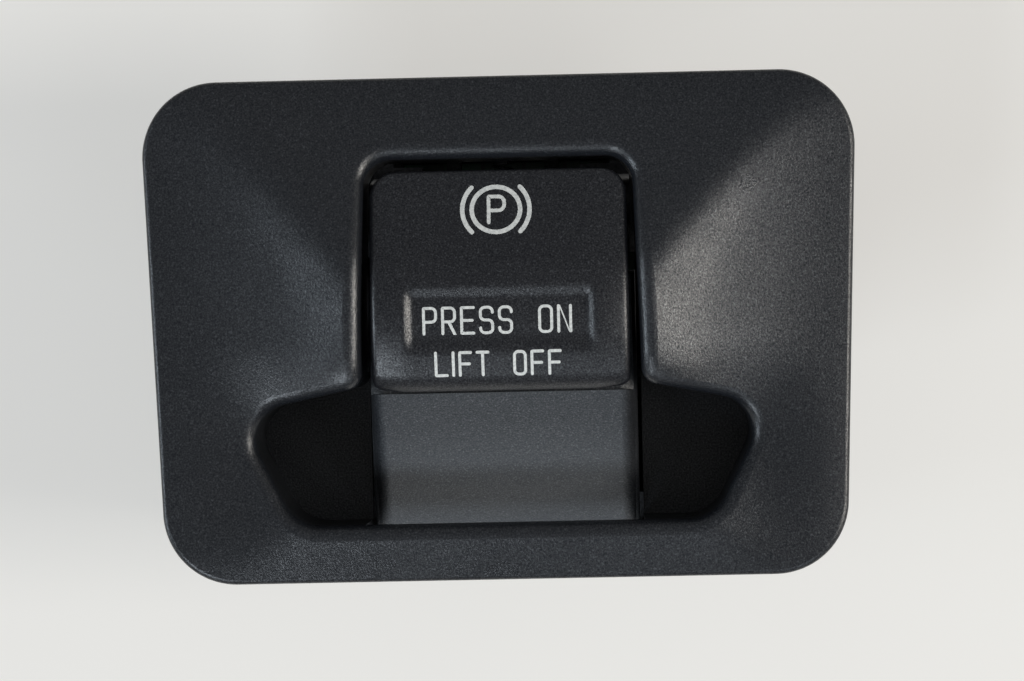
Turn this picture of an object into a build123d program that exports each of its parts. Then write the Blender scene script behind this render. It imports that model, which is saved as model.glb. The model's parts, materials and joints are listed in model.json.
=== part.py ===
from build123d import *
import os
from math import asin, cos, radians, sin, sqrt, tan

# Parking brake switch: a face plate with a raised hood and two finger wells, and a
# push and pull key that swings about a pin behind the hood. The front faces -Y, Z is up,
# and the origin is the centre of the plate's seat on the dashboard panel.

os.makedirs("parts", exist_ok=True)

# Face plate outline, seen from the front
plate_top = 35.2
plate_bottom = -34.8
plate_half_top = 49.95
plate_half_bottom = 47.3
plate_corner_top = 10.5
plate_corner_bottom = 10.3
plate_edge_round = 0.8
seat_band = 3.4

# Hood: a roof of four facets over the flange, rounded along the crest and the hips
flange = 2.4
shell_wall = 2.3
tilt_top = radians(16)
tilt_bottom = radians(13)
crest_radius = 25.0
side_slope = 0.12
side_curve = 0.001
side_hollow = 0.00014
side_twist = 0.0001
side_ease = 3.0
hip_soft = 1.3
hip_blend = 0.05
brow_drop = 2.2
brow_offset = 6.0
brow_reach_inner = 9.0
brow_reach_outer = 18.0
brow_fade_start = 30.0
brow_fade = 16.0
hood_reach = 20.0

# Key window and finger wells
key_half = 17.75
key_top = 22.2
key_bottom = -8.6
key_corner = 3.5
key_foot_corner = 1.3
key_gap_side = 0.75
key_gap_top = 1.5
window_flare = 0.85
window_corner = 3.8
pillar_foot = -7.6
pillar_round = 2.4
well_brow = (36.9, -11.2)
well_foot = 29.1
well_lip = -26.8
well_brow_round = 5.0
well_foot_round = 6.0
well_depth = 14.0
well_floor = 2.0
rim_round = 1.8
collar_wall = 1.8
collar_depth = 6.0
rib_wall = 1.2
rib_rear = 1.0
rib_x = 12.0

# Key cap and grip
key_recess = 0.9
nose_tilt = radians(22)
nose_end_tilt = radians(65)
nose_radius = 4.0
cap_wall = 1.8
cap_skirt = 4.0
dish_inset = 4.5
dish_top = 5.8
dish_bottom = -2.9
dish_depth = 1.0
dish_corner = 1.6
dish_draft = 40
seat_gap = 0.15
parting_gap = 0.12
cap_foot_draft = 0.2
ramp_step = 0.75
ramp_end = (12.9, -28.8)
grip_rear = 14.5
grip_flare_reach = 1.05
grip_flare_start = 8.0
grip_flare_angle = 3.0
grip_gap = 0.6
grip_shoulder = 8.0
grip_wall = 2.0
grip_heel_cut = 2.0
grip_back_cut = 10.0
grip_mouth = (-24.4, -4.0)
head_inset = 2.7
head_back = 1.6
ramp_edge_round = 1.1

# Pivot
pivot = (3.5, 17.5)
pin_radius = 1.5
pin_fit = 0.02
bush_fit = 0.05
bush_radius = 2.3
bush_length = 4.0
bush_flange_radius = 2.9
bush_flange = 0.3
hub_radius = 3.3
ear_gap = 0.5
ear_wall = 2.7
ear_radius = 3.15
ear_root_half_height = 5.0
pull_limit = radians(8)
push_limit = radians(5)
stop_gap = 0.1
pad_thickness = 1.5
pad_inset = 3.7
bracket_wall = 2.0

# Light guide between the lamps and the back of the cap
guide_overhang = 1.5
guide_inset = 3.2
guide_half_front = 6.0
guide_top = 19.5
guide_band = (9.8, 13.2)
guide_hub_gap = 0.5
guide_mirror = 3.2

# Drive arm and contact slider
arm_reach = 16.5
arm_half = 2.0
wing_inset = 1.7
wing_rear = 13.7
wing_depth = 3.0
wing_half_height = 1.2
arm_end_half_height = 1.8
drive_pin_radius = 1.0
drive_fit = 0.08
slider_half = 6.0
slider_front = 21.6
slider_depth = 3.4
prong_front = 2.0
slider_top = 16.0
slider_bottom = 2.0
prong_inner = 3.0
prong_half_height = 3.2
wiper_x = (-3.4, 0, 3.4)
wiper_half = 0.8
wiper_sheet = 0.25
wiper_base = (12.0, 14.5)
wiper_tip = 4.6
wiper_contact_gap = 0.1
track_half = 1.1
track_copper = 0.05
track_span = (-4.0, 10.0)

# Switch housing and rear cover
boss_reach = 4.9
boss_top_z = 16.0
boss_low_z = -2.5
boss_radius = 3.2
screw_radius = 1.35
screw_fit = 0.08
screw_head_radius = 2.6
screw_head = 1.8
screw_length = 9.0
screw_end_gap = 1.0
housing_flange = 2.5
flange_reach = 4.5
housing_flange_top = 21.0
housing_flange_bottom = -20.0
housing_half = 21.6
housing_wall = 2.0
housing_corner = 2.0
housing_top = 26.9
housing_bottom = -31.25
housing_end_wall = 1.2
housing_rear = 31.0
cover_wall = 2.0
cover_boss_reach = 1.8
cover_boss_top_z = 22.0
cover_boss_low_z = -26.0
cover_boss_radius = 2.6
cover_boss_length = 10.0

# Circuit board and connector
board_front = 26.0
board_thickness = 1.6
board_clear = 0.7
board_top = 24.4
board_bottom = -28.9
post_size = 5.0
post_front = 19.5
bar_top = -6.0
bar_height = 2.0
bar_front = 20.5
rail_wall = 2.0
socket_z = -14.0
socket_half_width = 11.4
socket_half_height = 5.5
socket_wall = 1.7
socket_corner = 1.2
socket_depth = 11.0
nib_span = (3.0, 8.0)
nib_height = 1.6
nib_half = 3.0
key_rib_x = (6.0, 7.4)
key_rib_height = 1.0
terminal_count = 6
terminal_pitch = 3.2
terminal_size = 0.64
terminal_clear = 0.5
terminal_reach = 7.7
header_half_height = 1.6
header_depth = 2.4
board_screw_radius = 1.0
board_screw_length = 4.5
board_screw_inset = 2.5
board_screw_head = 1.2
led_inset = 1.6
led_z = 11.5
led_size = (3.2, 1.2, 2.8)
led_lens = (1.2, 0.5)
chip_size = (10.0, 1.5, 7.0)
chip_z = 9.5
chip_pitch = 1.27
chip_legs = 8
chip_leg = (0.4, 0.6, 1.4)
component_size = (2.0, 0.8, 1.2)
component_columns = (-12, 12)
component_rows = (7, 10.5, 14)
component_bottom_row = (-9, -4, 4, 9)

# Panel clips
tower_inset = 7.6
tower_wall = 2.0
tower_length = 8.0
tower_reach = 11.0
clip_z = (18.0, -18.0)
clip_width = 6.6
clip_steel = 0.5
clip_bend = 0.28
clip_inner_leg = 2.0
clip_barb = (1.35, 5.4)
clip_tail = (0.1, 2.2)

# Springs
spring_wire = 0.22
spring_radius = 1.35
spring_turns = 3.5


def mirror_pair(distance):
    """The same distance on the left and on the right."""
    return (-distance, distance)


def block(centre, size):
    """Block about its centre."""
    with Locations(centre):
        Box(*size)


def box(x_span, y_span, z_span, mode=Mode.ADD):
    """Block between two planes on each axis."""
    spans = (x_span, y_span, z_span)
    with Locations(tuple((low + high) / 2 for low, high in spans)):
        Box(*[high - low for low, high in spans], mode=mode)


def box_pair(x_span, y_span, z_span, mode=Mode.ADD):
    """The same block on the left and on the right."""
    box(x_span, y_span, z_span, mode)
    box((-x_span[1], -x_span[0]), y_span, z_span, mode)


# Crest of the hood in side view: two straight flanks joined by one arc
rise_top = tan(tilt_top)
rise_bottom = tan(tilt_bottom)
crossing_z = (plate_top * rise_top + plate_bottom * rise_bottom) / (rise_top + rise_bottom)
crest_tangent = crest_radius * tan((tilt_top + tilt_bottom) / 2)
crest_start_z = crossing_z + crest_tangent * cos(tilt_top)
crest_end_z = crossing_z - crest_tangent * cos(tilt_bottom)
crest_centre_z = crest_start_z - crest_radius * sin(tilt_top)
crest_centre_rise = (plate_top - crest_start_z) * tan(tilt_top) - crest_radius * cos(tilt_top)

# Half widths of the key's window, above and at the foot of its pillars
window_half_top = key_half + key_gap_side
window_half_foot = window_half_top + window_flare


def crest_rise(z):
    """Height of the crest over the flange."""
    if z > crest_start_z:
        return (plate_top - z) * tan(tilt_top)
    if z < crest_end_z:
        return (z - plate_bottom) * tan(tilt_bottom)
    return crest_centre_rise + sqrt(crest_radius**2 - (z - crest_centre_z) ** 2)


def plate_half(z):
    """Half the width of the plate at a height."""
    share = (z - plate_bottom) / (plate_top - plate_bottom)
    return plate_half_bottom + (plate_half_top - plate_half_bottom) * share


def side_rise(x, z):
    """Height of a side facet over the flange: hollow, and steeper towards the top corner."""
    inward = plate_half(z) - abs(x)
    depth = max(inward, 0)
    lift = (z + sqrt(z**2 + side_ease**2)) / 2
    return side_slope * inward + (side_curve + side_twist * lift) * depth**2 + side_hollow * depth**3


def brow_fall(x, z):
    """How far the hood rolls down above the brow of a finger well: wider towards the outside."""
    share = (abs(x) - window_half_foot) / (well_brow[0] - window_half_foot)
    share = min(max(share, 0), 1)
    brow_z = pillar_foot + (well_brow[1] - pillar_foot) * share
    reach = brow_reach_inner + (brow_reach_outer - brow_reach_inner) * share
    above = (z - brow_z + brow_offset) / reach
    outside = max(abs(x) - brow_fade_start, 0) / brow_fade
    return brow_drop * max(1 - above**2, 0) ** 2 * max(1 - outside**2, 0) ** 2


def hood_rise(x, z):
    """Height of the hood over the flange: the lower of crest and side, blended along the hips."""
    crest = crest_rise(z)
    side = side_rise(x, z)
    blend = hip_soft + hip_blend * max(crest + side, 0) / 2
    hip = max(blend - abs(crest - side), 0) ** 2 / (4 * blend)
    return min(crest, side) - hip - brow_fall(x, z)


def shell_middle(x, z, reach):
    """How far forward a boss may start inside the hood's wall, where the hood is lowest over it."""
    over = [(x + step, z) for step in mirror_pair(reach)] + [(x, z + step) for step in mirror_pair(reach)]
    return flange + min(hood_rise(*place) for place in over) - shell_wall / 2


def hood_surface(inward):
    """The hood's skin as one smooth face, moved inward by the wall."""
    columns, rows = 45, 33
    half_width, half_height = plate_half_top + 5, plate_top + 5
    grid = [
        [
            Vector(x, inward - flange - hood_rise(x, z), z)
            for x in [half_width * (2 * i / (columns - 1) - 1) for i in range(columns)]
        ]
        for z in [half_height * (2 * k / (rows - 1) - 1) for k in range(rows)]
    ]
    return Face.make_surface_from_array_of_points(grid, tol=0.05)


def plate_outline(inset):
    """Sketch of the plate's outline, drawn in by an inset."""
    with BuildSketch(Plane.XZ) as outline:
        with BuildLine():
            Polyline(
                (-plate_half_bottom, plate_bottom),
                (plate_half_bottom, plate_bottom),
                (plate_half_top, plate_top),
                (-plate_half_top, plate_top),
                close=True,
            )
        make_face()
        fillet(outline.vertices().group_by(Axis.Y)[-1], plate_corner_top)
        fillet(outline.vertices().group_by(Axis.Y)[0], plate_corner_bottom)
        if inset:
            offset(amount=-inset, kind=Kind.INTERSECTION)
    return outline.sketch


# Sizes that follow the plate, the key or the housing
bezel_rear = well_depth + well_floor
tower_x = plate_half_top - tower_inset
dish_half = key_half - dish_inset
grip_half = key_half + grip_flare_reach
shaft_half = grip_half + grip_gap
head_half = key_half - head_inset
wing_half = head_half - wing_inset
pad_inner = head_half - pad_inset
guide_half_rear = head_half - guide_inset
led_x = guide_half_rear - led_inset
inner_half = housing_half - housing_wall
board_half = inner_half - board_clear
boss_x = housing_half + boss_reach
housing_flange_half = boss_x + flange_reach
cover_boss_x = housing_half + cover_boss_reach

# The opening in the plate
window_top = key_top + key_gap_top
corner_rounds = (
    (window_top, window_corner),
    (pillar_foot, pillar_round),
    (well_brow[1], well_brow_round),
    (well_lip, well_foot_round),
)


def opening_outline(grow):
    """Sketch of the key window and both finger wells, seen from the front."""
    with BuildSketch(Plane.XZ) as opening:
        with BuildLine():
            Polyline(
                (window_half_top, window_top),
                (window_half_foot, pillar_foot),
                well_brow,
                (well_foot, well_lip),
                (-well_foot, well_lip),
                (-well_brow[0], well_brow[1]),
                (-window_half_foot, pillar_foot),
                (-window_half_top, window_top),
                close=True,
            )
        make_face()
        for level, radius in corner_rounds:
            fillet(opening.vertices().filter_by_position(Axis.Y, level - 0.01, level + 0.01), radius)
        if grow:
            offset(amount=grow, kind=Kind.INTERSECTION)
    return opening.sketch


# Hollow behind the hood's skin, round the walls of the opening
with BuildPart() as hood_hollow:
    with BuildSketch(Plane.XZ):
        add(plate_outline(seat_band))
        add(opening_outline(collar_wall), mode=Mode.SUBTRACT)
    extrude(amount=hood_reach)
    extrude(hood_surface(shell_wall), amount=2 * hood_reach, dir=(0, 1, 0), mode=Mode.INTERSECT)

# Ribs behind the hood: beside the towers and over the window
with BuildPart() as ribs:
    with BuildSketch(Plane.XZ.offset(hood_reach)):
        for x in mirror_pair((tower_x + window_half_foot) / 2):
            with Locations(*[(x, z) for z in clip_z]):
                Rectangle(tower_x - window_half_foot, rib_wall)
        with Locations(*[(x, window_top + collar_wall / 2) for x in mirror_pair(rib_x)]):
            Rectangle(rib_wall, plate_top - window_top - seat_band, align=(Align.CENTER, Align.MIN))
    extrude(amount=-(hood_reach + rib_rear))
    extrude(hood_surface(shell_wall / 2), amount=2 * hood_reach, dir=(0, 1, 0), mode=Mode.INTERSECT)
    with BuildSketch(Plane.XZ.offset(hood_reach)):
        add(opening_outline(collar_wall / 2))
    extrude(amount=-2 * hood_reach, mode=Mode.SUBTRACT)

# Bezel: flange, hood, collar round the key, finger wells, screw bosses and clip towers
with BuildPart() as bezel:
    with BuildSketch(Plane.XZ):
        add(plate_outline(0))
    extrude(amount=hood_reach)
    extrude(hood_surface(0), amount=2 * hood_reach, dir=(0, 1, 0), mode=Mode.INTERSECT)
    plate_rim = bezel.faces().sort_by(Axis.Y)[0].edges()
    fillet(plate_rim, plate_edge_round)
    add(hood_hollow.part, mode=Mode.SUBTRACT)
    with BuildSketch(Plane.XZ):
        add(opening_outline(collar_wall))
    extrude(amount=-collar_depth)
    with BuildSketch(Plane.XZ) as well_walls:
        add(opening_outline(collar_wall))
        hood_part_height = plate_top - pillar_foot - collar_wall
        with Locations((0, plate_top)):
            Rectangle(2 * plate_half_top, 2 * hood_part_height, mode=Mode.SUBTRACT)
    extrude(amount=-bezel_rear)
    with BuildSketch(Plane.XZ.offset(hood_reach)):
        add(opening_outline(0))
    extrude(amount=-(hood_reach + well_depth), mode=Mode.SUBTRACT)
    lip_back = flange + hood_rise(0, well_lip) - shell_wall
    shaft_height = window_top - housing_bottom - housing_end_wall
    with BuildSketch(Plane.XZ.offset(lip_back)):
        with Locations((0, housing_bottom + housing_end_wall)):
            Rectangle(2 * shaft_half, well_lip + 1 - housing_bottom, align=(Align.CENTER, Align.MIN))
    extrude(amount=-(lip_back + hood_reach), mode=Mode.SUBTRACT)
    with BuildSketch(Plane.XZ.offset(-well_depth)):
        with Locations((0, housing_bottom + housing_end_wall)):
            Rectangle(2 * shaft_half, shaft_height, align=(Align.CENTER, Align.MIN))
    extrude(amount=-hood_reach, mode=Mode.SUBTRACT)
    boss_places = [(x, z) for x in mirror_pair(boss_x) for z in (boss_top_z, boss_low_z)]
    for x, z in boss_places:
        boss_front = shell_middle(x, z, boss_radius)
        with BuildSketch(Plane.XZ.offset(boss_front)):
            with Locations((x, z)):
                Circle(boss_radius)
        extrude(amount=-(boss_front + bezel_rear))
    add(ribs.part)
    for x in mirror_pair(tower_x):
        for z in clip_z:
            tower_front = shell_middle(x, z, tower_length / 2)
            with BuildSketch(Plane.XZ.offset(tower_front)):
                with Locations((x, z)):
                    Rectangle(tower_wall, tower_length)
            extrude(amount=-(tower_front + tower_reach))
    with BuildSketch(Plane.XZ.offset(-bezel_rear)):
        with Locations(*boss_places):
            Circle(screw_radius + screw_fit)
    extrude(amount=screw_length, mode=Mode.SUBTRACT)
    hood_skin = bezel.faces().sort_by(SortBy.AREA)[-1]
    fillet(hood_skin.inner_wires()[0].edges(), rim_round)
bezel.part.label = "bezel"
export_step(bezel.part, "parts/bezel.step")

# The key's side view follows the crest of the hood, set back by the recess
key_centre = (key_recess - flange - crest_centre_rise, crest_centre_z)


def on_key(depth, tilt):
    """Point of the key's side view at a depth under its face, where the face has a tilt."""
    reach = crest_radius - depth
    return (key_centre[0] - reach * cos(tilt), key_centre[1] + reach * sin(tilt))


def key_flank(depth, z):
    """Point of the key's straight upper flank at a height."""
    y, start_z = on_key(depth, tilt_top)
    return (y + (z - start_z) * tan(tilt_top), z)


def nose_point(depth, tilt):
    """Point of the key's rounded nose, under its face by a depth."""
    y, z = on_key(nose_radius, -nose_tilt)
    reach = nose_radius - depth
    return (y - reach * cos(tilt), z - reach * sin(tilt))


def key_front(depth, top_z):
    """Edges of the key's front in side view, from the top down to the end of the nose."""
    Line(key_flank(depth, top_z), on_key(depth, tilt_top))
    ThreePointArc(on_key(depth, tilt_top), on_key(depth, 0), on_key(depth, -nose_tilt))
    middle_tilt = (nose_tilt + nose_end_tilt) / 2
    foot = nose_point(depth, nose_end_tilt)
    ThreePointArc(nose_point(depth, nose_tilt), nose_point(depth, middle_tilt), foot)
    return foot


def key_outline(inset):
    """Sketch of the key cap's outline from the front, drawn in by an inset."""
    with BuildSketch(Plane.XZ.offset(hood_reach)) as outline:
        with Locations((0, (key_top + key_bottom) / 2)):
            Rectangle(2 * (key_half - inset), key_top - key_bottom - 2 * inset)
        fillet(outline.vertices().group_by(Axis.Y)[-1], key_corner - inset)
        fillet(outline.vertices().group_by(Axis.Y)[0], max(key_foot_corner - inset, 0.3))
    return outline.sketch


# Region behind the key's face, for the cap's hollow
with BuildPart() as cap_hollow:
    with BuildSketch(Plane.XZ.offset(hood_reach)):
        add(key_outline(cap_wall))
    extrude(amount=-2 * hood_reach)
    with BuildSketch(Plane.YZ):
        with BuildLine():
            foot = key_front(cap_wall, key_top)
            rear_corners = ((hood_reach, foot[1] - nose_radius), (hood_reach, key_top))
            Polyline(foot, *rear_corners, key_flank(cap_wall, key_top))
        make_face()
    extrude(amount=plate_half_top, both=True, mode=Mode.INTERSECT)

# Key cap: curved shell with a skirt, and a shallow dish for the thumb
with BuildPart() as key_cap:
    with BuildSketch(Plane.XZ.offset(hood_reach)):
        add(key_outline(0))
    extrude(amount=-2 * hood_reach)
    with BuildSketch(Plane.YZ):
        with BuildLine():
            foot = key_front(0, key_top)
            skirt_top = key_flank(cap_skirt, key_top)
            skirt_middle = on_key(cap_skirt, 0)
            skirt_foot = on_key(cap_skirt, -nose_tilt)
            foot_corners = ((foot[0] + cap_foot_draft, key_bottom), (skirt_foot[0], key_bottom))
            Polyline(foot, *foot_corners, skirt_foot)
            ThreePointArc(skirt_foot, skirt_middle, on_key(cap_skirt, tilt_top))
            Polyline(on_key(cap_skirt, tilt_top), skirt_top, key_flank(0, key_top))
        make_face()
    extrude(amount=plate_half_top, both=True, mode=Mode.INTERSECT)
    add(cap_hollow.part, mode=Mode.SUBTRACT)
    dish_floor_y = on_key(0, asin((dish_top - crest_centre_z) / crest_radius))[0] + dish_depth
    with BuildSketch(Plane.XZ.offset(-dish_floor_y)) as dish:
        with Locations((0, (dish_top + dish_bottom) / 2)):
            RectangleRounded(2 * dish_half, dish_top - dish_bottom, dish_corner)
        offset(amount=-dish_depth * tan(radians(dish_draft)))
    extrude(amount=3 * dish_depth, taper=-dish_draft, mode=Mode.SUBTRACT)
key_cap.part.label = "key_cap"
export_step(key_cap.part, "parts/key_cap.step")

# Grip body: the wedge below the key with its flared sides, the head that carries the cap,
# the hub on the pivot, and the arm that drives the contact slider
platform = cap_wall + seat_gap
skirt_clear = cap_skirt + 2 * seat_gap
ramp_start = (foot[0] + ramp_step, key_bottom - parting_gap)
shoulder_tilt = asin((grip_shoulder - crest_centre_z) / crest_radius)
grip_side = [
    ramp_start,
    ramp_end,
    (grip_rear, ramp_end[1] + grip_heel_cut),
    (grip_rear, grip_shoulder - grip_back_cut),
    (grip_flare_start, grip_shoulder),
]


def grip_profile(grow):
    """Sketch of the wedge in side view, larger all round by an amount."""
    with BuildSketch(Plane.YZ) as profile:
        with BuildLine():
            front_top = on_key(skirt_clear, shoulder_tilt)
            front_foot = on_key(skirt_clear, -nose_tilt)
            ThreePointArc(front_top, on_key(skirt_clear, 0), front_foot)
            Polyline(front_foot, (front_foot[0], ramp_start[1]), *grip_side, front_top)
        make_face()
        if grow:
            offset(amount=grow, kind=Kind.INTERSECTION)
    return profile.sketch


def head_profile(depth):
    """Sketch of the head under the cap in side view, its front at a depth under the key's face."""
    with BuildSketch(Plane.YZ) as profile:
        with BuildLine():
            head_top = key_top - platform
            head_foot = key_front(depth, head_top)
            Polyline(
                head_foot,
                (pivot[0], head_foot[1]),
                (grip_flare_start, grip_shoulder / 2),
                (grip_flare_start, guide_band[0]),
                (pivot[0], pivot[1]),
                (pivot[0], head_top),
                key_flank(depth, head_top),
            )
        make_face()
    return profile.sketch


with BuildPart() as head:
    with BuildSketch(Plane.XZ.offset(hood_reach)):
        add(key_outline(platform))
    extrude(amount=-2 * hood_reach)
    extrude(head_profile(platform), amount=plate_half_top, both=True, mode=Mode.INTERSECT)
    # narrow behind the cap, to clear the ears of the housing
    with BuildSketch(Plane.XZ.offset(head_back)):
        with Locations(*[(x, grip_shoulder) for x in mirror_pair(head_half + hood_reach / 2)]):
            Rectangle(hood_reach, plate_top, align=(Align.CENTER, Align.MIN))
    extrude(amount=-hood_reach, mode=Mode.SUBTRACT)

with BuildPart() as wedge:
    with BuildSketch(Plane.XZ.offset(-grip_flare_start)):
        Rectangle(2 * grip_half, 2 * plate_top)
    extrude(amount=grip_flare_start + hood_reach / 2, taper=grip_flare_angle)
    with BuildSketch(Plane.XZ.offset(-grip_flare_start)):
        Rectangle(2 * grip_half, 2 * plate_top)
    extrude(amount=grip_flare_start - grip_rear)
    extrude(grip_profile(0), amount=plate_half_top, both=True, mode=Mode.INTERSECT)
    ramp = wedge.faces().filter_by(lambda face: max(face.normal_at().Y, face.normal_at().Z) < -0.6)
    fillet(ramp.edges().filter_by(lambda edge: abs(edge.tangent_at(0.5).X) < 0.5), ramp_edge_round)

with BuildPart() as wedge_hollow:
    hollow_half = grip_half - 2 * grip_wall
    extrude(grip_profile(-grip_wall), amount=hollow_half, both=True)
    box(mirror_pair(hollow_half), (grip_rear - 2 * grip_wall, grip_rear + grip_wall), grip_mouth)

# The light guide runs under the hub from behind the head to the back of the cap
guide_rear = grip_flare_start + guide_overhang
guide_turn_y = pivot[0] - hub_radius - guide_hub_gap
guide_side = [
    (guide_rear, guide_band[0]),
    (guide_rear, guide_band[1]),
    (guide_turn_y, guide_band[1]),
    (guide_turn_y, guide_top),
    key_flank(platform, guide_top),
    key_flank(platform, guide_band[1]),
    (key_flank(platform, guide_band[1])[0] + guide_mirror, guide_band[0]),
]


def guide_block(grow):
    """The light guide, larger all round by an amount."""
    with BuildPart() as block:
        with BuildSketch(Plane.YZ):
            Polygon(*guide_side, align=None)
            if grow:
                offset(amount=grow, kind=Kind.INTERSECTION)
        extrude(amount=guide_half_rear + grow, both=True)
        with BuildSketch(Plane.XY.offset(guide_band[0] - 1)):
            Polygon(
                (guide_half_rear + grow, guide_rear + grow),
                (guide_half_rear + grow, guide_rear / 2),
                (guide_half_front + grow, 0),
                (guide_half_front + grow, -hood_reach),
                (-guide_half_front - grow, -hood_reach),
                (-guide_half_front - grow, 0),
                (-guide_half_rear - grow, guide_rear / 2),
                (-guide_half_rear - grow, guide_rear + grow),
                align=None,
            )
        extrude(amount=guide_top, mode=Mode.INTERSECT)
    return block.part


with BuildPart() as light_guide:
    add(guide_block(0))
light_guide.part.label = "light_guide"
export_step(light_guide.part, "parts/light_guide.step")

with BuildPart() as grip_body:
    add(wedge.part)
    add(wedge_hollow.part, mode=Mode.SUBTRACT)
    add(head.part)
    with BuildSketch(Plane.YZ):
        with Locations(pivot):
            Circle(hub_radius)
    extrude(amount=head_half, both=True)
    arm_tip = pivot[0] + arm_reach + drive_pin_radius + 0.5
    with BuildSketch(Plane.YZ):
        Polygon(
            (pivot[0], pivot[1] + hub_radius),
            (arm_tip, pivot[1] + arm_end_half_height),
            (arm_tip, pivot[1] - arm_end_half_height),
            (pivot[0], pivot[1] - hub_radius),
            align=None,
        )
    extrude(amount=arm_half, both=True)
    with BuildSketch(Plane.YZ):
        with Locations((pivot[0] + wing_rear - wing_depth / 2, pivot[1])):
            Rectangle(wing_depth, 2 * wing_half_height)
    extrude(amount=wing_half, both=True)
    # bores for the pivot pin, its bushes and the drive pin
    with BuildSketch(Plane.YZ):
        with Locations(pivot):
            Circle(pin_radius + 4 * bush_fit)
    extrude(amount=head_half, both=True, mode=Mode.SUBTRACT)
    for side in (Plane.YZ.offset(head_half), Plane.ZY.offset(head_half)):
        with BuildSketch(side):
            with Locations(pivot if side.z_dir.X > 0 else (pivot[1], pivot[0])):
                Circle(bush_radius + pin_fit)
        extrude(amount=-bush_length, mode=Mode.SUBTRACT)
    with BuildSketch(Plane.YZ):
        with Locations((pivot[0] + arm_reach, pivot[1])):
            Circle(drive_pin_radius + pin_fit)
    extrude(amount=slider_half, both=True, mode=Mode.SUBTRACT)
    add(guide_block(seat_gap), mode=Mode.SUBTRACT)
grip_body.part.label = "grip_body"
export_step(grip_body.part, "parts/grip_body.step")

with BuildPart() as drive_pin:
    with BuildSketch(Plane.YZ):
        with Locations((pivot[0] + arm_reach, pivot[1])):
            Circle(drive_pin_radius)
    extrude(amount=slider_half - 2 * drive_fit, both=True)
    chamfer(drive_pin.edges().filter_by(GeomType.CIRCLE), 0.2)
drive_pin.part.label = "drive_pin"
export_step(drive_pin.part, "parts/drive_pin.step")

# Pivot pin, held in the ears of the housing, and the two flanged bushes of the hub
ear_inner = head_half + ear_gap
with BuildPart() as pivot_pin:
    with BuildSketch(Plane.YZ):
        with Locations(pivot):
            Circle(pin_radius)
    extrude(amount=ear_inner + ear_wall, both=True)
    chamfer(pivot_pin.edges().filter_by(GeomType.CIRCLE), 0.3)
pivot_pin.part.label = "pivot_pin"
export_step(pivot_pin.part, "parts/pivot_pin.step")

with BuildPart() as pivot_bushes:
    with BuildSketch(Plane.YZ.offset(head_half - bush_length + pin_fit)):
        with Locations(pivot):
            Circle(bush_radius)
            Circle(pin_radius + bush_fit, mode=Mode.SUBTRACT)
    extrude(amount=bush_length)
    with BuildSketch(Plane.YZ.offset(head_half + pin_fit)):
        with Locations(pivot):
            Circle(bush_flange_radius)
            Circle(pin_radius + bush_fit, mode=Mode.SUBTRACT)
    extrude(amount=bush_flange)
    mirror(about=Plane.YZ)
pivot_bushes.part.label = "pivot_bushes"
export_step(pivot_bushes.part, "parts/pivot_bushes.step")

# Switch housing: box behind the bezel, ears for the pivot pin, brackets for the stop pads,
# posts for the circuit board, rails and a cross bar for the contact slider
housing_front = bezel_rear + seat_gap
inner_bottom = housing_bottom + housing_end_wall
inner_top = housing_top - housing_wall
board_seat = board_front - seat_gap
ear_root = housing_front + housing_flange
pad_low_top = pivot[1] - wing_half_height - wing_rear * sin(pull_limit) - stop_gap
pad_high_bottom = pivot[1] + wing_half_height + wing_rear * sin(push_limit) + stop_gap
wing_span = (pivot[0] + wing_rear - wing_depth, pivot[0] + wing_rear)
post_top = board_top - post_size
post_bottom = board_bottom
post_half_gap = inner_half - post_size


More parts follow.
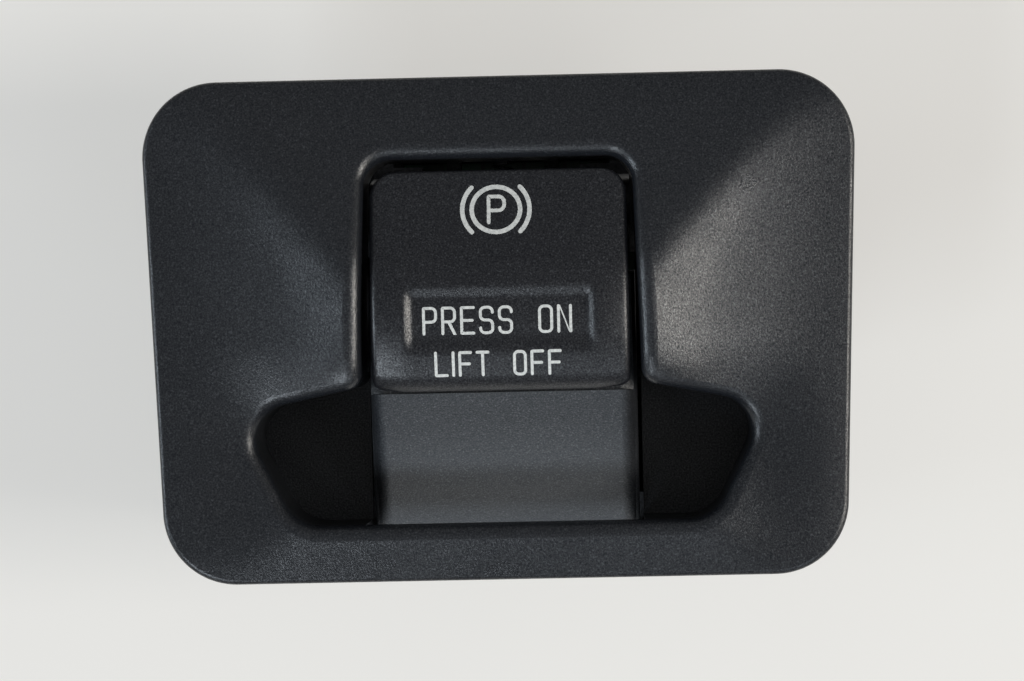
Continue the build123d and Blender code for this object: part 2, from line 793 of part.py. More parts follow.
board_screw_x = board_half - board_screw_inset
board_screw_z = (board_top - board_screw_inset, board_bottom + board_screw_inset)
board_screw_places = [(x, z) for x in mirror_pair(board_screw_x) for z in board_screw_z]
cover_boss_z = (cover_boss_top_z, cover_boss_low_z)
cover_boss_places = [(x, z) for x in mirror_pair(cover_boss_x) for z in cover_boss_z]
with BuildPart() as switch_housing:
    with BuildSketch(Plane.XZ.offset(-housing_front)):
        with Locations((0, (housing_top + housing_bottom) / 2)):
            RectangleRounded(2 * housing_half, housing_top - housing_bottom, housing_corner)
    extrude(amount=housing_front - housing_rear)
    with BuildSketch(Plane.XZ.offset(-housing_front)):
        flange_height = housing_flange_top - housing_flange_bottom
        with Locations((0, (housing_flange_top + housing_flange_bottom) / 2)):
            RectangleRounded(2 * housing_flange_half, flange_height, housing_corner)
    extrude(amount=-housing_flange)
    with BuildSketch(Plane.XZ.offset(cover_boss_length - housing_rear)):
        with Locations(*cover_boss_places):
            Circle(cover_boss_radius)
    extrude(amount=-cover_boss_length)
    inner_height = (inner_bottom, inner_top)
    box(mirror_pair(inner_half), (housing_front, housing_rear), inner_height, Mode.SUBTRACT)
    # ears with their roots, seen from the side
    with BuildSketch(Plane.YZ.offset(ear_inner)):
        with Locations(pivot):
            Circle(ear_radius)
        Polygon(
            (pivot[0], pivot[1] + ear_radius),
            (ear_root, pivot[1] + ear_root_half_height),
            (ear_root, pivot[1] - ear_root_half_height),
            (pivot[0], pivot[1] - ear_radius),
            align=None,
        )
    extrude(amount=ear_wall)
    mirror(about=Plane.YZ)
    bracket_low = (pad_low_top - pad_thickness - bracket_wall, pad_low_top - pad_thickness)
    bracket_high = (pad_high_bottom + pad_thickness, inner_top + housing_wall / 2)
    wall_middle = housing_half - housing_wall / 2
    box_pair((ear_inner, wall_middle), (housing_front, ear_root), (bracket_low[0], bracket_high[1]))
    bracket_x = (pad_inner, ear_inner + ear_wall)
    box_pair(bracket_x, wing_span, bracket_low)
    box_pair(bracket_x, wing_span, (bracket_high[0], bracket_high[0] + bracket_wall))
    # posts, cross bar and rails
    post_x = (post_half_gap, wall_middle)
    box_pair(post_x, (post_front, board_seat), (post_top, board_top))
    box_pair(post_x, (post_front, board_seat), (post_bottom, post_bottom + post_size))
    box(mirror_pair(wall_middle), (bar_front, board_seat), (bar_top - bar_height, bar_top))
    rail_x = (slider_half + drive_fit, slider_half + drive_fit + rail_wall)
    box_pair(rail_x, (bar_front, board_seat), (bar_top - bar_height, inner_top + housing_wall / 2))
    # bores
    with BuildSketch(Plane.YZ):
        with Locations(pivot):
            Circle(pin_radius + pin_fit)
    extrude(amount=housing_half, both=True, mode=Mode.SUBTRACT)
    with BuildSketch(Plane.XZ.offset(-housing_front)):
        with Locations(*boss_places):
            Circle(screw_radius + 2 * screw_fit)
    extrude(amount=-housing_flange, mode=Mode.SUBTRACT)
    with BuildSketch(Plane.XZ.offset(-housing_rear)):
        with Locations(*cover_boss_places):
            Circle(screw_radius + screw_fit)
    extrude(amount=screw_length, mode=Mode.SUBTRACT)
    with BuildSketch(Plane.XZ.offset(-board_seat)):
        with Locations(*board_screw_places):
            Circle(board_screw_radius + pin_fit)
    extrude(amount=board_screw_length, mode=Mode.SUBTRACT)
switch_housing.part.label = "switch_housing"
export_step(switch_housing.part, "parts/switch_housing.step")

# Rubber pads above and below the wings of the arm: they stop the pull and the push
with BuildPart() as stop_pads:
    pad_x = (pad_inner, ear_inner - seat_gap)
    box_pair(pad_x, wing_span, (pad_low_top - pad_thickness, pad_low_top))
    box_pair(pad_x, wing_span, (pad_high_bottom, pad_high_bottom + pad_thickness))
stop_pads.part.label = "stop_pads"
export_step(stop_pads.part, "parts/stop_pads.step")


def screws(places, seat):
    """Pan head screws that enter from behind at the given places, heads on a seat plane."""
    with BuildPart() as group:
        with BuildSketch(Plane.XZ.offset(-seat)):
            with Locations(*places):
                Circle(screw_radius)
        extrude(amount=screw_length + housing_flange - screw_end_gap)
        with BuildSketch(Plane.XZ.offset(-seat)):
            with Locations(*places):
                Circle(screw_head_radius)
        extrude(amount=-screw_head)
    return group.part


with BuildPart() as housing_screws:
    add(screws(boss_places, ear_root + pin_fit))
housing_screws.part.label = "housing_screws"
export_step(housing_screws.part, "parts/housing_screws.step")

# Contact slider: plate between the rails with two prongs round the drive pin
slider_rear = slider_front + slider_depth
drive_y = pivot[0] + arm_reach
with BuildPart() as contact_slider:
    box((-slider_half, slider_half), (slider_front, slider_rear), (slider_bottom, slider_top))
    prong_x = (prong_inner, slider_half)
    prong_z = (slider_top - prong_half_height, pivot[1] + prong_half_height)
    box_pair(prong_x, (drive_y - prong_front, slider_front + slider_depth / 2), prong_z)
    slot_half = drive_pin_radius + drive_fit
    slot_z = (pivot[1] - slot_half, pivot[1] + slot_half)
    box_pair(prong_x, (0, drive_y), slot_z, Mode.SUBTRACT)
    with BuildSketch(Plane.YZ):
        with Locations((drive_y, pivot[1])):
            Circle(slot_half)
    extrude(amount=slider_half, both=True, mode=Mode.SUBTRACT)
contact_slider.part.label = "contact_slider"
export_step(contact_slider.part, "parts/contact_slider.step")

# Springs that centre the slider, above and below it
upper_spring_span = (slider_top + seat_gap, inner_top - seat_gap)
lower_spring_span = (bar_top + seat_gap, slider_bottom - seat_gap)


def coil_spring(span):
    """Compression spring along Z between two heights."""
    low, high = span[0] + spring_wire, span[1] - spring_wire
    with BuildPart() as coil:
        with BuildLine():
            path = Helix((high - low) / spring_turns, high - low, spring_radius, center=(0, 0, 0))
        with BuildSketch(Plane(path @ 0, z_dir=path % 0)):
            RegularPolygon(spring_wire, 4)
        sweep(is_frenet=True)
    middle = (slider_front + slider_rear) / 2
    return coil.part.moved(Location((0, middle, low)))


for name, span in (("upper_spring", upper_spring_span), ("lower_spring", lower_spring_span)):
    with BuildPart() as spring:
        add(coil_spring(span))
    spring.part.label = name
    export_step(spring.part, f"parts/{name}.step")

# Wipers: three sprung fingers of sheet metal on the back of the slider
track_face = board_front - track_copper
with BuildPart() as contact_wipers:
    sheet = (slider_rear + pin_fit, slider_rear + pin_fit + wiper_sheet)
    tip = (track_face - wiper_contact_gap - wiper_sheet, track_face - wiper_contact_gap)
    box((wiper_x[0] - wiper_half, wiper_x[-1] + wiper_half), sheet, wiper_base)
    for x in wiper_x:
        with BuildSketch(Plane.YZ.offset(x - wiper_half)):
            Polygon(
                (sheet[0], wiper_base[0]),
                (sheet[1], wiper_base[0]),
                (tip[1], wiper_tip + 1),
                (tip[0], wiper_tip),
                (tip[0] - wiper_sheet, wiper_tip),
                (tip[0], wiper_tip + 1),
                align=None,
            )
        extrude(amount=2 * wiper_half)
contact_wipers.part.label = "contact_wipers"
export_step(contact_wipers.part, "parts/contact_wipers.step")

# Circuit board and what is soldered to it
board_rear = board_front + board_thickness
with BuildPart() as circuit_board:
    box((-board_half, board_half), (board_front, board_rear), (board_bottom, board_top))
    with BuildSketch(Plane.XZ.offset(-board_rear)):
        with Locations(*board_screw_places):
            Circle(board_screw_radius + screw_fit)
    extrude(amount=board_thickness, mode=Mode.SUBTRACT)
circuit_board.part.label = "circuit_board"
export_step(circuit_board.part, "parts/circuit_board.step")

# Board screws hold the board against the posts
with BuildPart() as board_screws:
    with BuildSketch(Plane.XZ.offset(-board_rear)):
        with Locations(*board_screw_places):
            Circle(board_screw_radius)
    extrude(amount=board_screw_length)
    with BuildSketch(Plane.XZ.offset(-board_rear)):
        with Locations(*board_screw_places):
            RegularPolygon(2 * board_screw_radius, 6)
    extrude(amount=-board_screw_head)
board_screws.part.label = "board_screws"
export_step(board_screws.part, "parts/board_screws.step")

# Contact tracks under the wipers
with BuildPart() as contact_tracks:
    for x in wiper_x:
        box((x - track_half, x + track_half), (track_face, board_front), track_span)
contact_tracks.part.label = "contact_tracks"
export_step(contact_tracks.part, "parts/contact_tracks.step")

# Lamps that light the guide
with BuildPart() as backlight_leds:
    for x in mirror_pair(led_x):
        lens_radius, lens_height = led_lens
        led_front = board_front - led_size[1]
        block((x, (board_front + led_front) / 2, led_z), led_size)
        with BuildSketch(Plane.XZ.offset(-led_front)):
            with Locations((x, led_z)):
                Circle(lens_radius)
        extrude(amount=lens_height)
backlight_leds.part.label = "backlight_leds"
export_step(backlight_leds.part, "parts/backlight_leds.step")

# Controller and small parts on the back of the board
with BuildPart() as controller_chip:
    block((0, board_rear + chip_size[1] / 2, chip_z), chip_size)
    for side in (-1, 1):
        for leg in range(chip_legs):
            leg_x = chip_pitch * (leg - (chip_legs - 1) / 2)
            leg_z = chip_z + side * (chip_size[2] + chip_leg[2]) / 2
            block((leg_x, board_rear + chip_leg[1] / 2, leg_z), chip_leg)
controller_chip.part.label = "controller_chip"
export_step(controller_chip.part, "parts/controller_chip.step")

component_places = [(x, z) for x in component_columns for z in component_rows]
component_places += [(x, 0) for x in component_bottom_row]
with BuildPart() as board_components:
    for x, z in component_places:
        block((x, board_rear + component_size[1] / 2, z), component_size)
board_components.part.label = "board_components"
export_step(board_components.part, "parts/board_components.step")

# Rear cover with the connector shroud
cover_front = housing_rear + seat_gap
cover_rear = cover_front + cover_wall
socket_rear = cover_rear + socket_depth
header_half = terminal_pitch * (terminal_count - 1) / 2 + 2
terminal_x = [terminal_pitch * (step - (terminal_count - 1) / 2) for step in range(terminal_count)]
with BuildPart() as rear_cover:
    with BuildSketch(Plane.XZ.offset(-cover_front)):
        with Locations((0, (housing_top + housing_bottom) / 2)):
            RectangleRounded(2 * housing_half, housing_top - housing_bottom, housing_corner)
        with Locations(*cover_boss_places):
            Circle(cover_boss_radius + 0.3)
    extrude(amount=-cover_wall)
    with BuildSketch(Plane.XZ.offset(-cover_rear)):
        with Locations((0, socket_z)):
            shroud_half = (socket_half_width + socket_wall, socket_half_height + socket_wall)
            RectangleRounded(2 * shroud_half[0], 2 * shroud_half[1], socket_corner + socket_wall / 2)
    extrude(amount=-socket_depth)
    with BuildSketch(Plane.XZ.offset(-cover_rear)):
        with Locations((0, socket_z)):
            RectangleRounded(2 * socket_half_width, 2 * socket_half_height, socket_corner)
    extrude(amount=-socket_depth, mode=Mode.SUBTRACT)
    # slots for the terminals and bores for the screws
    with BuildSketch(Plane.XZ.offset(-cover_rear)):
        with Locations((0, socket_z)):
            Rectangle(2 * header_half, terminal_size + 2 * terminal_clear)
        with Locations(*cover_boss_places):
            Circle(screw_radius + 2 * screw_fit)
    extrude(amount=cover_wall, mode=Mode.SUBTRACT)
    # latch nib for the plug and ribs that key it
    shroud_top = socket_z + socket_half_height + socket_wall
    shroud_bottom = socket_z - socket_half_height - socket_wall
    with BuildSketch(Plane.YZ):
        Polygon(
            (cover_rear + nib_span[0], shroud_top - socket_wall / 2),
            (cover_rear + nib_span[0], shroud_top + nib_height),
            (cover_rear + nib_span[1], shroud_top),
            (cover_rear + nib_span[1], shroud_top - socket_wall / 2),
            align=None,
        )
    extrude(amount=nib_half, both=True)
    key_rib_z = (shroud_bottom - key_rib_height, shroud_bottom + pin_fit)
    box_pair(key_rib_x, (cover_rear - pin_fit, socket_rear), key_rib_z)
rear_cover.part.label = "rear_cover"
export_step(rear_cover.part, "parts/rear_cover.step")

with BuildPart() as pin_header:
    header_size = (2 * header_half, header_depth, 2 * header_half_height)
    block((0, board_rear + header_depth / 2, socket_z), header_size)
    with BuildSketch(Plane.XZ.offset(-board_rear)):
        with Locations(*[(x, socket_z) for x in terminal_x]):
            Rectangle(terminal_size + 2 * pin_fit, terminal_size + 2 * pin_fit)
    extrude(amount=-header_depth, mode=Mode.SUBTRACT)
pin_header.part.label = "pin_header"
export_step(pin_header.part, "parts/pin_header.step")

with BuildPart() as connector_pins:
    with BuildSketch(Plane.XZ.offset(-board_rear)):
        with Locations(*[(x, socket_z) for x in terminal_x]):
            Rectangle(terminal_size, terminal_size)
    extrude(amount=board_rear - cover_rear - terminal_reach)
    chamfer(connector_pins.faces().group_by(Axis.Y)[-1].edges(), terminal_size / 4)
connector_pins.part.label = "connector_pins"
export_step(connector_pins.part, "parts/connector_pins.step")

with BuildPart() as cover_screws:
    add(screws(cover_boss_places, cover_rear + pin_fit))
cover_screws.part.label = "cover_screws"
export_step(cover_screws.part, "parts/cover_screws.step")

# Spring clips that straddle the towers and grip the panel's edge
clip_inner = tower_x - tower_wall / 2 - clip_steel / 2 - pin_fit
clip_outer = tower_x + tower_wall / 2 + clip_steel / 2 + pin_fit
clip_back = tower_reach + clip_steel / 2 + pin_fit
with BuildPart() as panel_clips:
    for z in clip_z:
        with BuildSketch(Plane.XY.offset(z - clip_width / 2)):
            with BuildLine() as bend:
                FilletPolyline(
                    (clip_inner, clip_inner_leg),
                    (clip_inner, clip_back),
                    (clip_outer + clip_steel / 2, clip_back),
                    (clip_outer + clip_barb[0], clip_barb[1]),
                    (clip_outer + clip_tail[0], clip_tail[1]),
                    radius=clip_bend,
                )
            trace(bend.line, line_width=clip_steel)
        extrude(amount=clip_width)
    mirror(about=Plane.YZ)
panel_clips.part.label = "panel_clips"
export_step(panel_clips.part, "parts/panel_clips.step")
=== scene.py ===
# %% [markdown]
# # A parking brake switch
#
# This lesson finishes one dashboard switch. The real one is a black face plate with a raised
# hood. A key swings in a window of the hood: pressed at its face it locks the brake, pulled
# from below it lets go. Two wells beside the key make room for the fingers. Behind the plate
# sit the housing, the contact slider with its springs, the board and the connector.
#
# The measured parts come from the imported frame. Blender gives them their finishes, and makes
# again the few that need a softer or finer shape than the measured one has.

# %% Load the measured parts
import json
from math import asin, ceil, cos, degrees, hypot, pi, radians, sin, tan

import bmesh
import bpy
from mathutils import Matrix, Vector

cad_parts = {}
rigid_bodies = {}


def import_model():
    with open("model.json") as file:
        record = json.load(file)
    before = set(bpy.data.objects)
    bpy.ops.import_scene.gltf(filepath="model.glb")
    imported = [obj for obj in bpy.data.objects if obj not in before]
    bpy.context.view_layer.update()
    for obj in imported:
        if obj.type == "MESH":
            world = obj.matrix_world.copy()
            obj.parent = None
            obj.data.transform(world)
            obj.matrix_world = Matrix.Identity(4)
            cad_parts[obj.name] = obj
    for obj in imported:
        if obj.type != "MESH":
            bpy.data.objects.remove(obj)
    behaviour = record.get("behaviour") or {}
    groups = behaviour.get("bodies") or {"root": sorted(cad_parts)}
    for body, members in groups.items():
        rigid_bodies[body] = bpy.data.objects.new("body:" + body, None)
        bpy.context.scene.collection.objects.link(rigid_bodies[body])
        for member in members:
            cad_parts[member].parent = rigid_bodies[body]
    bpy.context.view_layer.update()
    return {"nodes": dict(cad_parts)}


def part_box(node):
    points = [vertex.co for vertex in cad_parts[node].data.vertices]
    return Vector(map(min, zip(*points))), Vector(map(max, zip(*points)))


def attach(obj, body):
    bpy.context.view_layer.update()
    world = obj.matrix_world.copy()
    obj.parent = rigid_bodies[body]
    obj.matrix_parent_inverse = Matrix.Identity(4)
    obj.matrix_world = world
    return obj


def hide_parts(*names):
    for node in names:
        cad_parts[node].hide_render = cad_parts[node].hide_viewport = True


for leftover in list(bpy.data.objects):
    bpy.data.objects.remove(leftover)
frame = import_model()
nodes = frame["nodes"]
MM = 0.001

# %% [markdown]
# ## Where the camera stands
#
# The photograph looks squarely at the front from about half a metre, a touch to the right,
# and the plate lies turned by 1.24 degrees in it. One millimetre on the plate is 7.2 pixels
# wide, and the picture is 1024 pixels wide. A camera could be aimed by hand, but from these
# three numbers its lens and its turn follow by themselves: the lens is as long as the picture
# needs at that distance, and the camera is rolled about its own axis.

# %% Camera


def new_object(name, data):
    """A new object in the scene."""
    made = bpy.data.objects.new(name, data)
    bpy.context.scene.collection.objects.link(made)
    return made


picture_width = 1024
pixels_per_mm = 7.2
camera_distance = 0.5
camera_roll = radians(1.24)
camera_azimuth = radians(1.5)
camera_target = Vector((1.45, -2.0, -1.63)) * MM

looking = Vector((-sin(camera_azimuth), cos(camera_azimuth), 0))
level = Vector((cos(camera_azimuth), sin(camera_azimuth), 0))
upright = level.cross(looking)
across = level * cos(camera_roll) - upright * sin(camera_roll)
upward = level * sin(camera_roll) + upright * cos(camera_roll)

camera_data = bpy.data.cameras.new("camera")
seen_width = picture_width / pixels_per_mm * MM
camera_data.lens = camera_data.sensor_width * camera_distance / seen_width
camera = new_object("camera", camera_data)
camera_axes = Matrix((across, upward, -looking)).transposed().to_4x4()
camera.matrix_world = Matrix.Translation(camera_target - looking * camera_distance) @ camera_axes
bpy.context.scene.camera = camera
print("lens", round(camera_data.lens, 1), "mm, picture", round(seen_width / MM, 1), "mm wide")

# %% [markdown]
# ## Colours and nodes
#
# Colours are written as on a paint card, in sRGB hex, and Blender works in linear light, so
# one function turns the one into the other. A second small function adds a node with its
# settings. It links every input that is given as another node, by that node's first output,
# or as one of its outputs. Inputs are given by name, or as a list in their order on the node.
# Every material and every Geometry Nodes tree below is built with it. The other functions do
# what most finishes need: start a material, find what feeds an input of the shader so that a
# finish can add its own layer between the two, tint the colour, and spread cloudy patches.

# %% Small helpers


def linear(hex_colour):
    """An sRGB hex colour as linear RGBA."""
    channels = [int(hex_colour[i:i + 2], 16) / 255 for i in (1, 3, 5)]
    light = [c / 12.92 if c <= 0.04045 else ((c + 0.055) / 1.055) ** 2.4 for c in channels]
    return (*light, 1)


def add(tree, kind, inputs=None, **settings):
    """A new node with its settings. inputs is a dictionary by name, or a list in their order."""
    node = tree.nodes.new(kind)
    for name, value in settings.items():
        setattr(node, name, value)
    given = enumerate(inputs) if isinstance(inputs, list) else (inputs or {}).items()
    for name, value in given:
        if isinstance(value, bpy.types.Node):
            value = value.outputs[0]
        if isinstance(value, bpy.types.NodeSocket):
            tree.links.new(value, node.inputs[name])
        else:
            node.inputs[name].default_value = value
    return node


def new_material(name):
    """An empty material and its tree."""
    material = bpy.data.materials.new(name)
    material.use_nodes = True
    material.node_tree.nodes.clear()
    return material, material.node_tree


def feeding(shader, name):
    """The output that is linked to an input of a shader so far."""
    return shader.inputs[name].links[0].from_socket


def tint(tree, shader, share, colour):
    """Lays a colour over what the shader has so far, by a share."""
    so_far = feeding(shader, "Base Color")
    laid = add(tree, "ShaderNodeMix", {0: share, 6: so_far, 7: linear(colour)}, data_type="RGBA")
    tree.links.new(laid.outputs[2], shader.inputs["Base Color"])


def patches(tree, place, width, detail, low, high, least, most):
    """Clouds of a width in millimetres: between low and high they rise from least to most."""
    clouds = add(tree, "ShaderNodeTexNoise", {"Vector": place, "Scale": 1 / (width * MM), "Detail": detail})
    return add(tree, "ShaderNodeMapRange", [clouds, low, high, least, most])


print("paint card grey", [round(c, 3) for c in linear("#808080")])

# %% [markdown]
# ## The pale table
#
# In the photograph the switch lies on its back on a pale, even table, with a soft shadow to
# each side. The table is a plane right behind the connector. It takes the lamps' light and
# the shadow as a matt surface does, and the camera sees a little more glow from it than the
# switch does, so the table is as bright as in the photograph and the black plastic isn't lit
# from it. Mirrors and glass see the same glow. Seen from behind, the table is clear, so the
# back of the switch can be looked at too.

# %% Table
table_size, table_depth = 1.6, 46.2 * MM
table_glow = 0.38
bpy.ops.mesh.primitive_plane_add(size=table_size, location=(0, table_depth, 0), rotation=(pi / 2, 0, 0))
table = bpy.context.object
table.name = "table"
table_top, tree = new_material("table_top")
path = add(tree, "ShaderNodeLightPath")
seen = path.outputs["Is Camera Ray"]
for ray in ("Is Glossy Ray", "Is Transmission Ray"):
    seen = add(tree, "ShaderNodeMath", [seen, path.outputs[ray]], operation="MAXIMUM")
place = add(tree, "ShaderNodeTexCoord").outputs["Object"]
cloud = add(tree, "ShaderNodeTexNoise", {"Vector": place, "Scale": 9, "Detail": 2})
tone = add(tree, "ShaderNodeMix", {0: cloud, 6: linear("#b4b2ae"), 7: linear("#bcbab6")}, data_type="RGBA")
glow_strength = add(tree, "ShaderNodeMath", [seen, table_glow], operation="MULTIPLY")
glow = add(tree, "ShaderNodeEmission", {"Color": linear("#fffdf9"), "Strength": glow_strength})
matt = add(tree, "ShaderNodeBsdfDiffuse", {"Color": tone.outputs[2]})
lit = add(tree, "ShaderNodeAddShader", [matt, glow])
behind = add(tree, "ShaderNodeNewGeometry").outputs["Backfacing"]
clear = add(tree, "ShaderNodeBsdfTransparent")
surface = add(tree, "ShaderNodeMixShader", [behind, lit, clear])
add(tree, "ShaderNodeOutputMaterial", {"Surface": surface})
table.data.materials.append(table_top)
print("table at", round(table.location.y / MM, 1), "mm behind the seat of the plate")

# %% [markdown]
# ## Lamps
#
# Black satin plastic is drawn by what it mirrors, so the lamps' places matter more than their
# power. The photograph shows soft light from three sides: a window far to the right with a
# pale wall beside it, which light the right side of the hood, a weaker window to the left, and
# light from below, stronger at the left, that catches the lower half of the key's curve. A
# surface that leans by some angle mirrors what stands at twice that angle, and that gives each
# lamp its direction. So a lamp is placed by the two angles under which the switch sees it,
# which is easier to set than three coordinates. The sky to the left is a little bluer than
# the light from the right. Two lamps behind the table, which the front never sees, show the
# back to whoever turns the switch round. The room itself adds an even, low light. The camera
# sees the room paler than it shines, as a photographer's paper backdrop would be.

# %% Lamps and room
lamp_distance = 0.95
room_light, room_backdrop = 0.31, 0.8


def soft_lamp(name, azimuth, elevation, size, power, colour):
    """A rectangular lamp that shines at the switch from two angles in degrees."""
    around, above = radians(azimuth), radians(elevation)
    place = Vector((sin(around) * cos(above), -cos(around) * cos(above), sin(above)))
    light = bpy.data.lights.new(name, "AREA")
    light.shape = "RECTANGLE"
    light.size, light.size_y = size
    light.energy = power
    light.color = linear(colour)[:3]
    lamp = new_object(name, light)
    lamp.location = place * lamp_distance
    lamp.rotation_euler = (-place).to_track_quat("-Z", "Y").to_euler()
    return lamp


lamps = [
    soft_lamp("right_window", 61, -4, (0.18, 0.2), 4.3, "#fffaf2"),
    soft_lamp("right_wall", 38, -8, (0.14, 0.3), 1.3, "#f8f8f8"),
    soft_lamp("left_window", -70, -6, (0.16, 0.3), 2.6, "#deebf6"),
    soft_lamp("low_left", -32, -40, (0.22, 0.26), 3.2, "#e2ecf5"),
    soft_lamp("low_right", 25, -47, (0.25, 0.2), 0.8, "#e2ecf5"),
    soft_lamp("back_left", 150, 35, (0.4, 0.4), 3.0, "#fffaf2"),
    soft_lamp("back_right", -140, 10, (0.4, 0.4), 2.0, "#e2ecf5"),
]

room = bpy.data.worlds.new("room")
room.use_nodes = True
bpy.context.scene.world = room
backdrop = room.node_tree.nodes["Background"]
backdrop.inputs["Color"].default_value = linear("#e6e8ea")
seen = add(room.node_tree, "ShaderNodeLightPath").outputs["Is Camera Ray"]
strength = add(room.node_tree, "ShaderNodeMapRange", [seen, 0, 1, room_light, room_backdrop])
room.node_tree.links.new(strength.outputs[0], backdrop.inputs["Strength"])
bpy.context.scene.view_settings.view_transform = "Standard"
print("lamps:", [lamp.name for lamp in lamps])

# %% [markdown]
# ## Moulded plastics
#
# Every plastic part of the switch is injection moulded, and takes its grain from the steel of
# the mould. Under the light such a surface shows four things: tiny hills that break up the
# highlights, bright specks where a hill's top mirrors a lamp, dark pits between the hills that
# mirror nothing, and patches that hands have polished over the years. The specks are painted
# into the colour, as painted glints. One function lays down these four for a base colour and a
# grain width, and each plastic adds what is its own. The grain of the plate is 0.2 to 0.3 mm
# wide, which is about two pixels of the picture, so it is drawn at its true size.

# %% The grain of a mould
hand_patch, polish_spread = 14, 0.04


def moulded(name, colour, glint_colour, roughness, grain, relief, glint_share=0.35, pits=0.3):
    """A plastic with grain and relief in millimetres. Gives material, tree, shader and place."""
    material, tree = new_material(name)
    place = add(tree, "ShaderNodeTexCoord").outputs["Object"]
    hills = add(tree, "ShaderNodeTexNoise", {
        "Vector": place, "Scale": 1 / (grain * MM), "Detail": 3.0, "Roughness": 0.6,
    })
    # Painted glints: the tops of the hills are painted paler, as specks of highlight.
    painted_glints = add(tree, "ShaderNodeMapRange", [hills, 0.58, 0.76, 0, glint_share])
    body = add(tree, "ShaderNodeMix", {0: painted_glints, 6: linear(colour), 7: linear(glint_colour)}, data_type="RGBA")
    mirror = add(tree, "ShaderNodeMapRange", [hills, 0.3, 0.7, 0.5 - pits, 0.5 + pits])
    dullest, shiniest = roughness + polish_spread, roughness - polish_spread
    polish = patches(tree, place, hand_patch, 4, 0.3, 0.7, shiniest, dullest)
    relief_map = add(tree, "ShaderNodeBump", {"Height": hills, "Distance": relief * MM, "Strength": 1.0})
    shader = add(tree, "ShaderNodeBsdfPrincipled", {
        "Base Color": body.outputs[2], "Roughness": polish, "Normal": relief_map,
        "IOR": 1.53, "Specular IOR Level": mirror,
    })
    add(tree, "ShaderNodeOutputMaterial", {"Surface": shader})
    return material, tree, shader, place


print("hands polish patches of", hand_patch, "mm")

# %% [markdown]
# ### Grained ABS: the face plate
#
# ABS is tough and takes a fine spark-eroded grain well, so car makers use it for trim. The
# rolled rims are touched most and get smoother with time. A node gives the direction in which
# the surface faces, and where that leans away from the front, on the outer part of the plate,
# the roughness goes down a little. Deeper in the wells the colour is painted darker and the
# shine is dimmed: painted shade, where little light reaches.

# %% Face plate plastic
plate_grain = 0.25
rim_polish, deepest_painted_shade = 0.04, 0.6
grained_abs, tree, shader, place = moulded(
    "grained_abs", "#1b1d21", "#5a5e64", 0.31, plate_grain, 0.052, pits=0.34)
normal = add(tree, "ShaderNodeTexCoord").outputs["Normal"]
facing = add(tree, "ShaderNodeSeparateXYZ", [normal]).outputs["Y"]
leaning = add(tree, "ShaderNodeMapRange", [facing, -0.93, -0.7, 0, 1])
front = add(tree, "ShaderNodeSeparateXYZ", [place]).outputs["Y"]
outer = add(tree, "ShaderNodeMapRange", [front, -2 * MM, -4 * MM, 0, 1])
worn = add(tree, "ShaderNodeMath", [leaning, outer], operation="MULTIPLY")
grained = feeding(shader, "Roughness")
polished = add(tree, "ShaderNodeMath", [worn, -rim_polish, grained], operation="MULTIPLY_ADD")
tree.links.new(polished.outputs[0], shader.inputs["Roughness"])
# Painted shade: deeper towards the wells the colour is darkened and the shine dimmed.
depth = add(tree, "ShaderNodeMapRange", [front, -4 * MM, 3 * MM, 0, deepest_painted_shade])
tint(tree, shader, depth, "#0c0d0e")
shine = feeding(shader, "Specular IOR Level")
shade = add(tree, "ShaderNodeMapRange", [depth, 0, deepest_painted_shade, 1, 0.6])
shaded_shine = add(tree, "ShaderNodeMath", [shine, shade], operation="MULTIPLY")
tree.links.new(shaded_shine.outputs[0], shader.inputs["Specular IOR Level"])
print("plate grain", plate_grain, "mm")

# %% [markdown]
# ### Soft-touch cap and coarse grip
#
# The key's cap has the same black with a shallower grain, so the thumb glides on it. The
# wedge that the fingers pull has a deep, lighter grain for grip. It carries a hairline scratch
# from a fingernail or a ring: a thin dark band along a wavy line in object coordinates. Towards
# the foot of the wedge the colour is painted paler: painted light, so the foot, shaded by the
# lip, stays as bright as the rest. The wedge's two upright edges are rubbed round by the
# fingers. A second relief that falls away as the square of the way past a line near each edge
# turns the light as that rounding does, and near each edge the colour is painted darker:
# painted shade, where the rounding faces the dark wells.

# %% Cap and grip plastics
cap_grain, grip_grain = 0.24, 0.25
satin_cap = moulded("satin_cap", "#17181c", "#5c6066", 0.33, cap_grain, 0.042, glint_share=0.4, pits=0.38)[0]
coarse_grip, tree, shader, place = moulded(
    "coarse_grip", "#33363a", "#7c8086", 0.46, grip_grain, 0.12, glint_share=0.55, pits=0.38)
scratch_low, scratch_high, scratch_half, scratch_cover = -18.6, -14.4, 0.09, 0.4
spot = add(tree, "ShaderNodeSeparateXYZ", [place])
line = patches(tree, place, 6, 1, 0, 1, scratch_low * MM, scratch_high * MM)
aside = add(tree, "ShaderNodeMath", [spot.outputs["Z"], line], operation="SUBTRACT")
aside = add(tree, "ShaderNodeMath", [aside], operation="ABSOLUTE")
thin = add(tree, "ShaderNodeMapRange", [aside, 0, scratch_half * MM, 1, 0])
start = add(tree, "ShaderNodeMapRange", [spot.outputs["X"], -16 * MM, -13 * MM, 0, 1])
stop = add(tree, "ShaderNodeMapRange", [spot.outputs["X"], -2 * MM, 2 * MM, 1, 0])
reach = add(tree, "ShaderNodeMath", [start, stop], operation="MULTIPLY")
scratch = add(tree, "ShaderNodeMath", [thin, reach], operation="MULTIPLY")
scratch = add(tree, "ShaderNodeMath", [scratch, scratch_cover], operation="MULTIPLY")
palest_painted_light, darkest_edge_shade = 0.26, 0.7
height = spot.outputs["Z"]
# Painted light: the foot of the wedge is painted paler, where the lip shades it.
painted_foot_light = add(tree, "ShaderNodeMapRange", [height, -13 * MM, -28 * MM, 0, palest_painted_light])
middle_out = add(tree, "ShaderNodeMath", [spot.outputs["X"]], operation="ABSOLUTE")
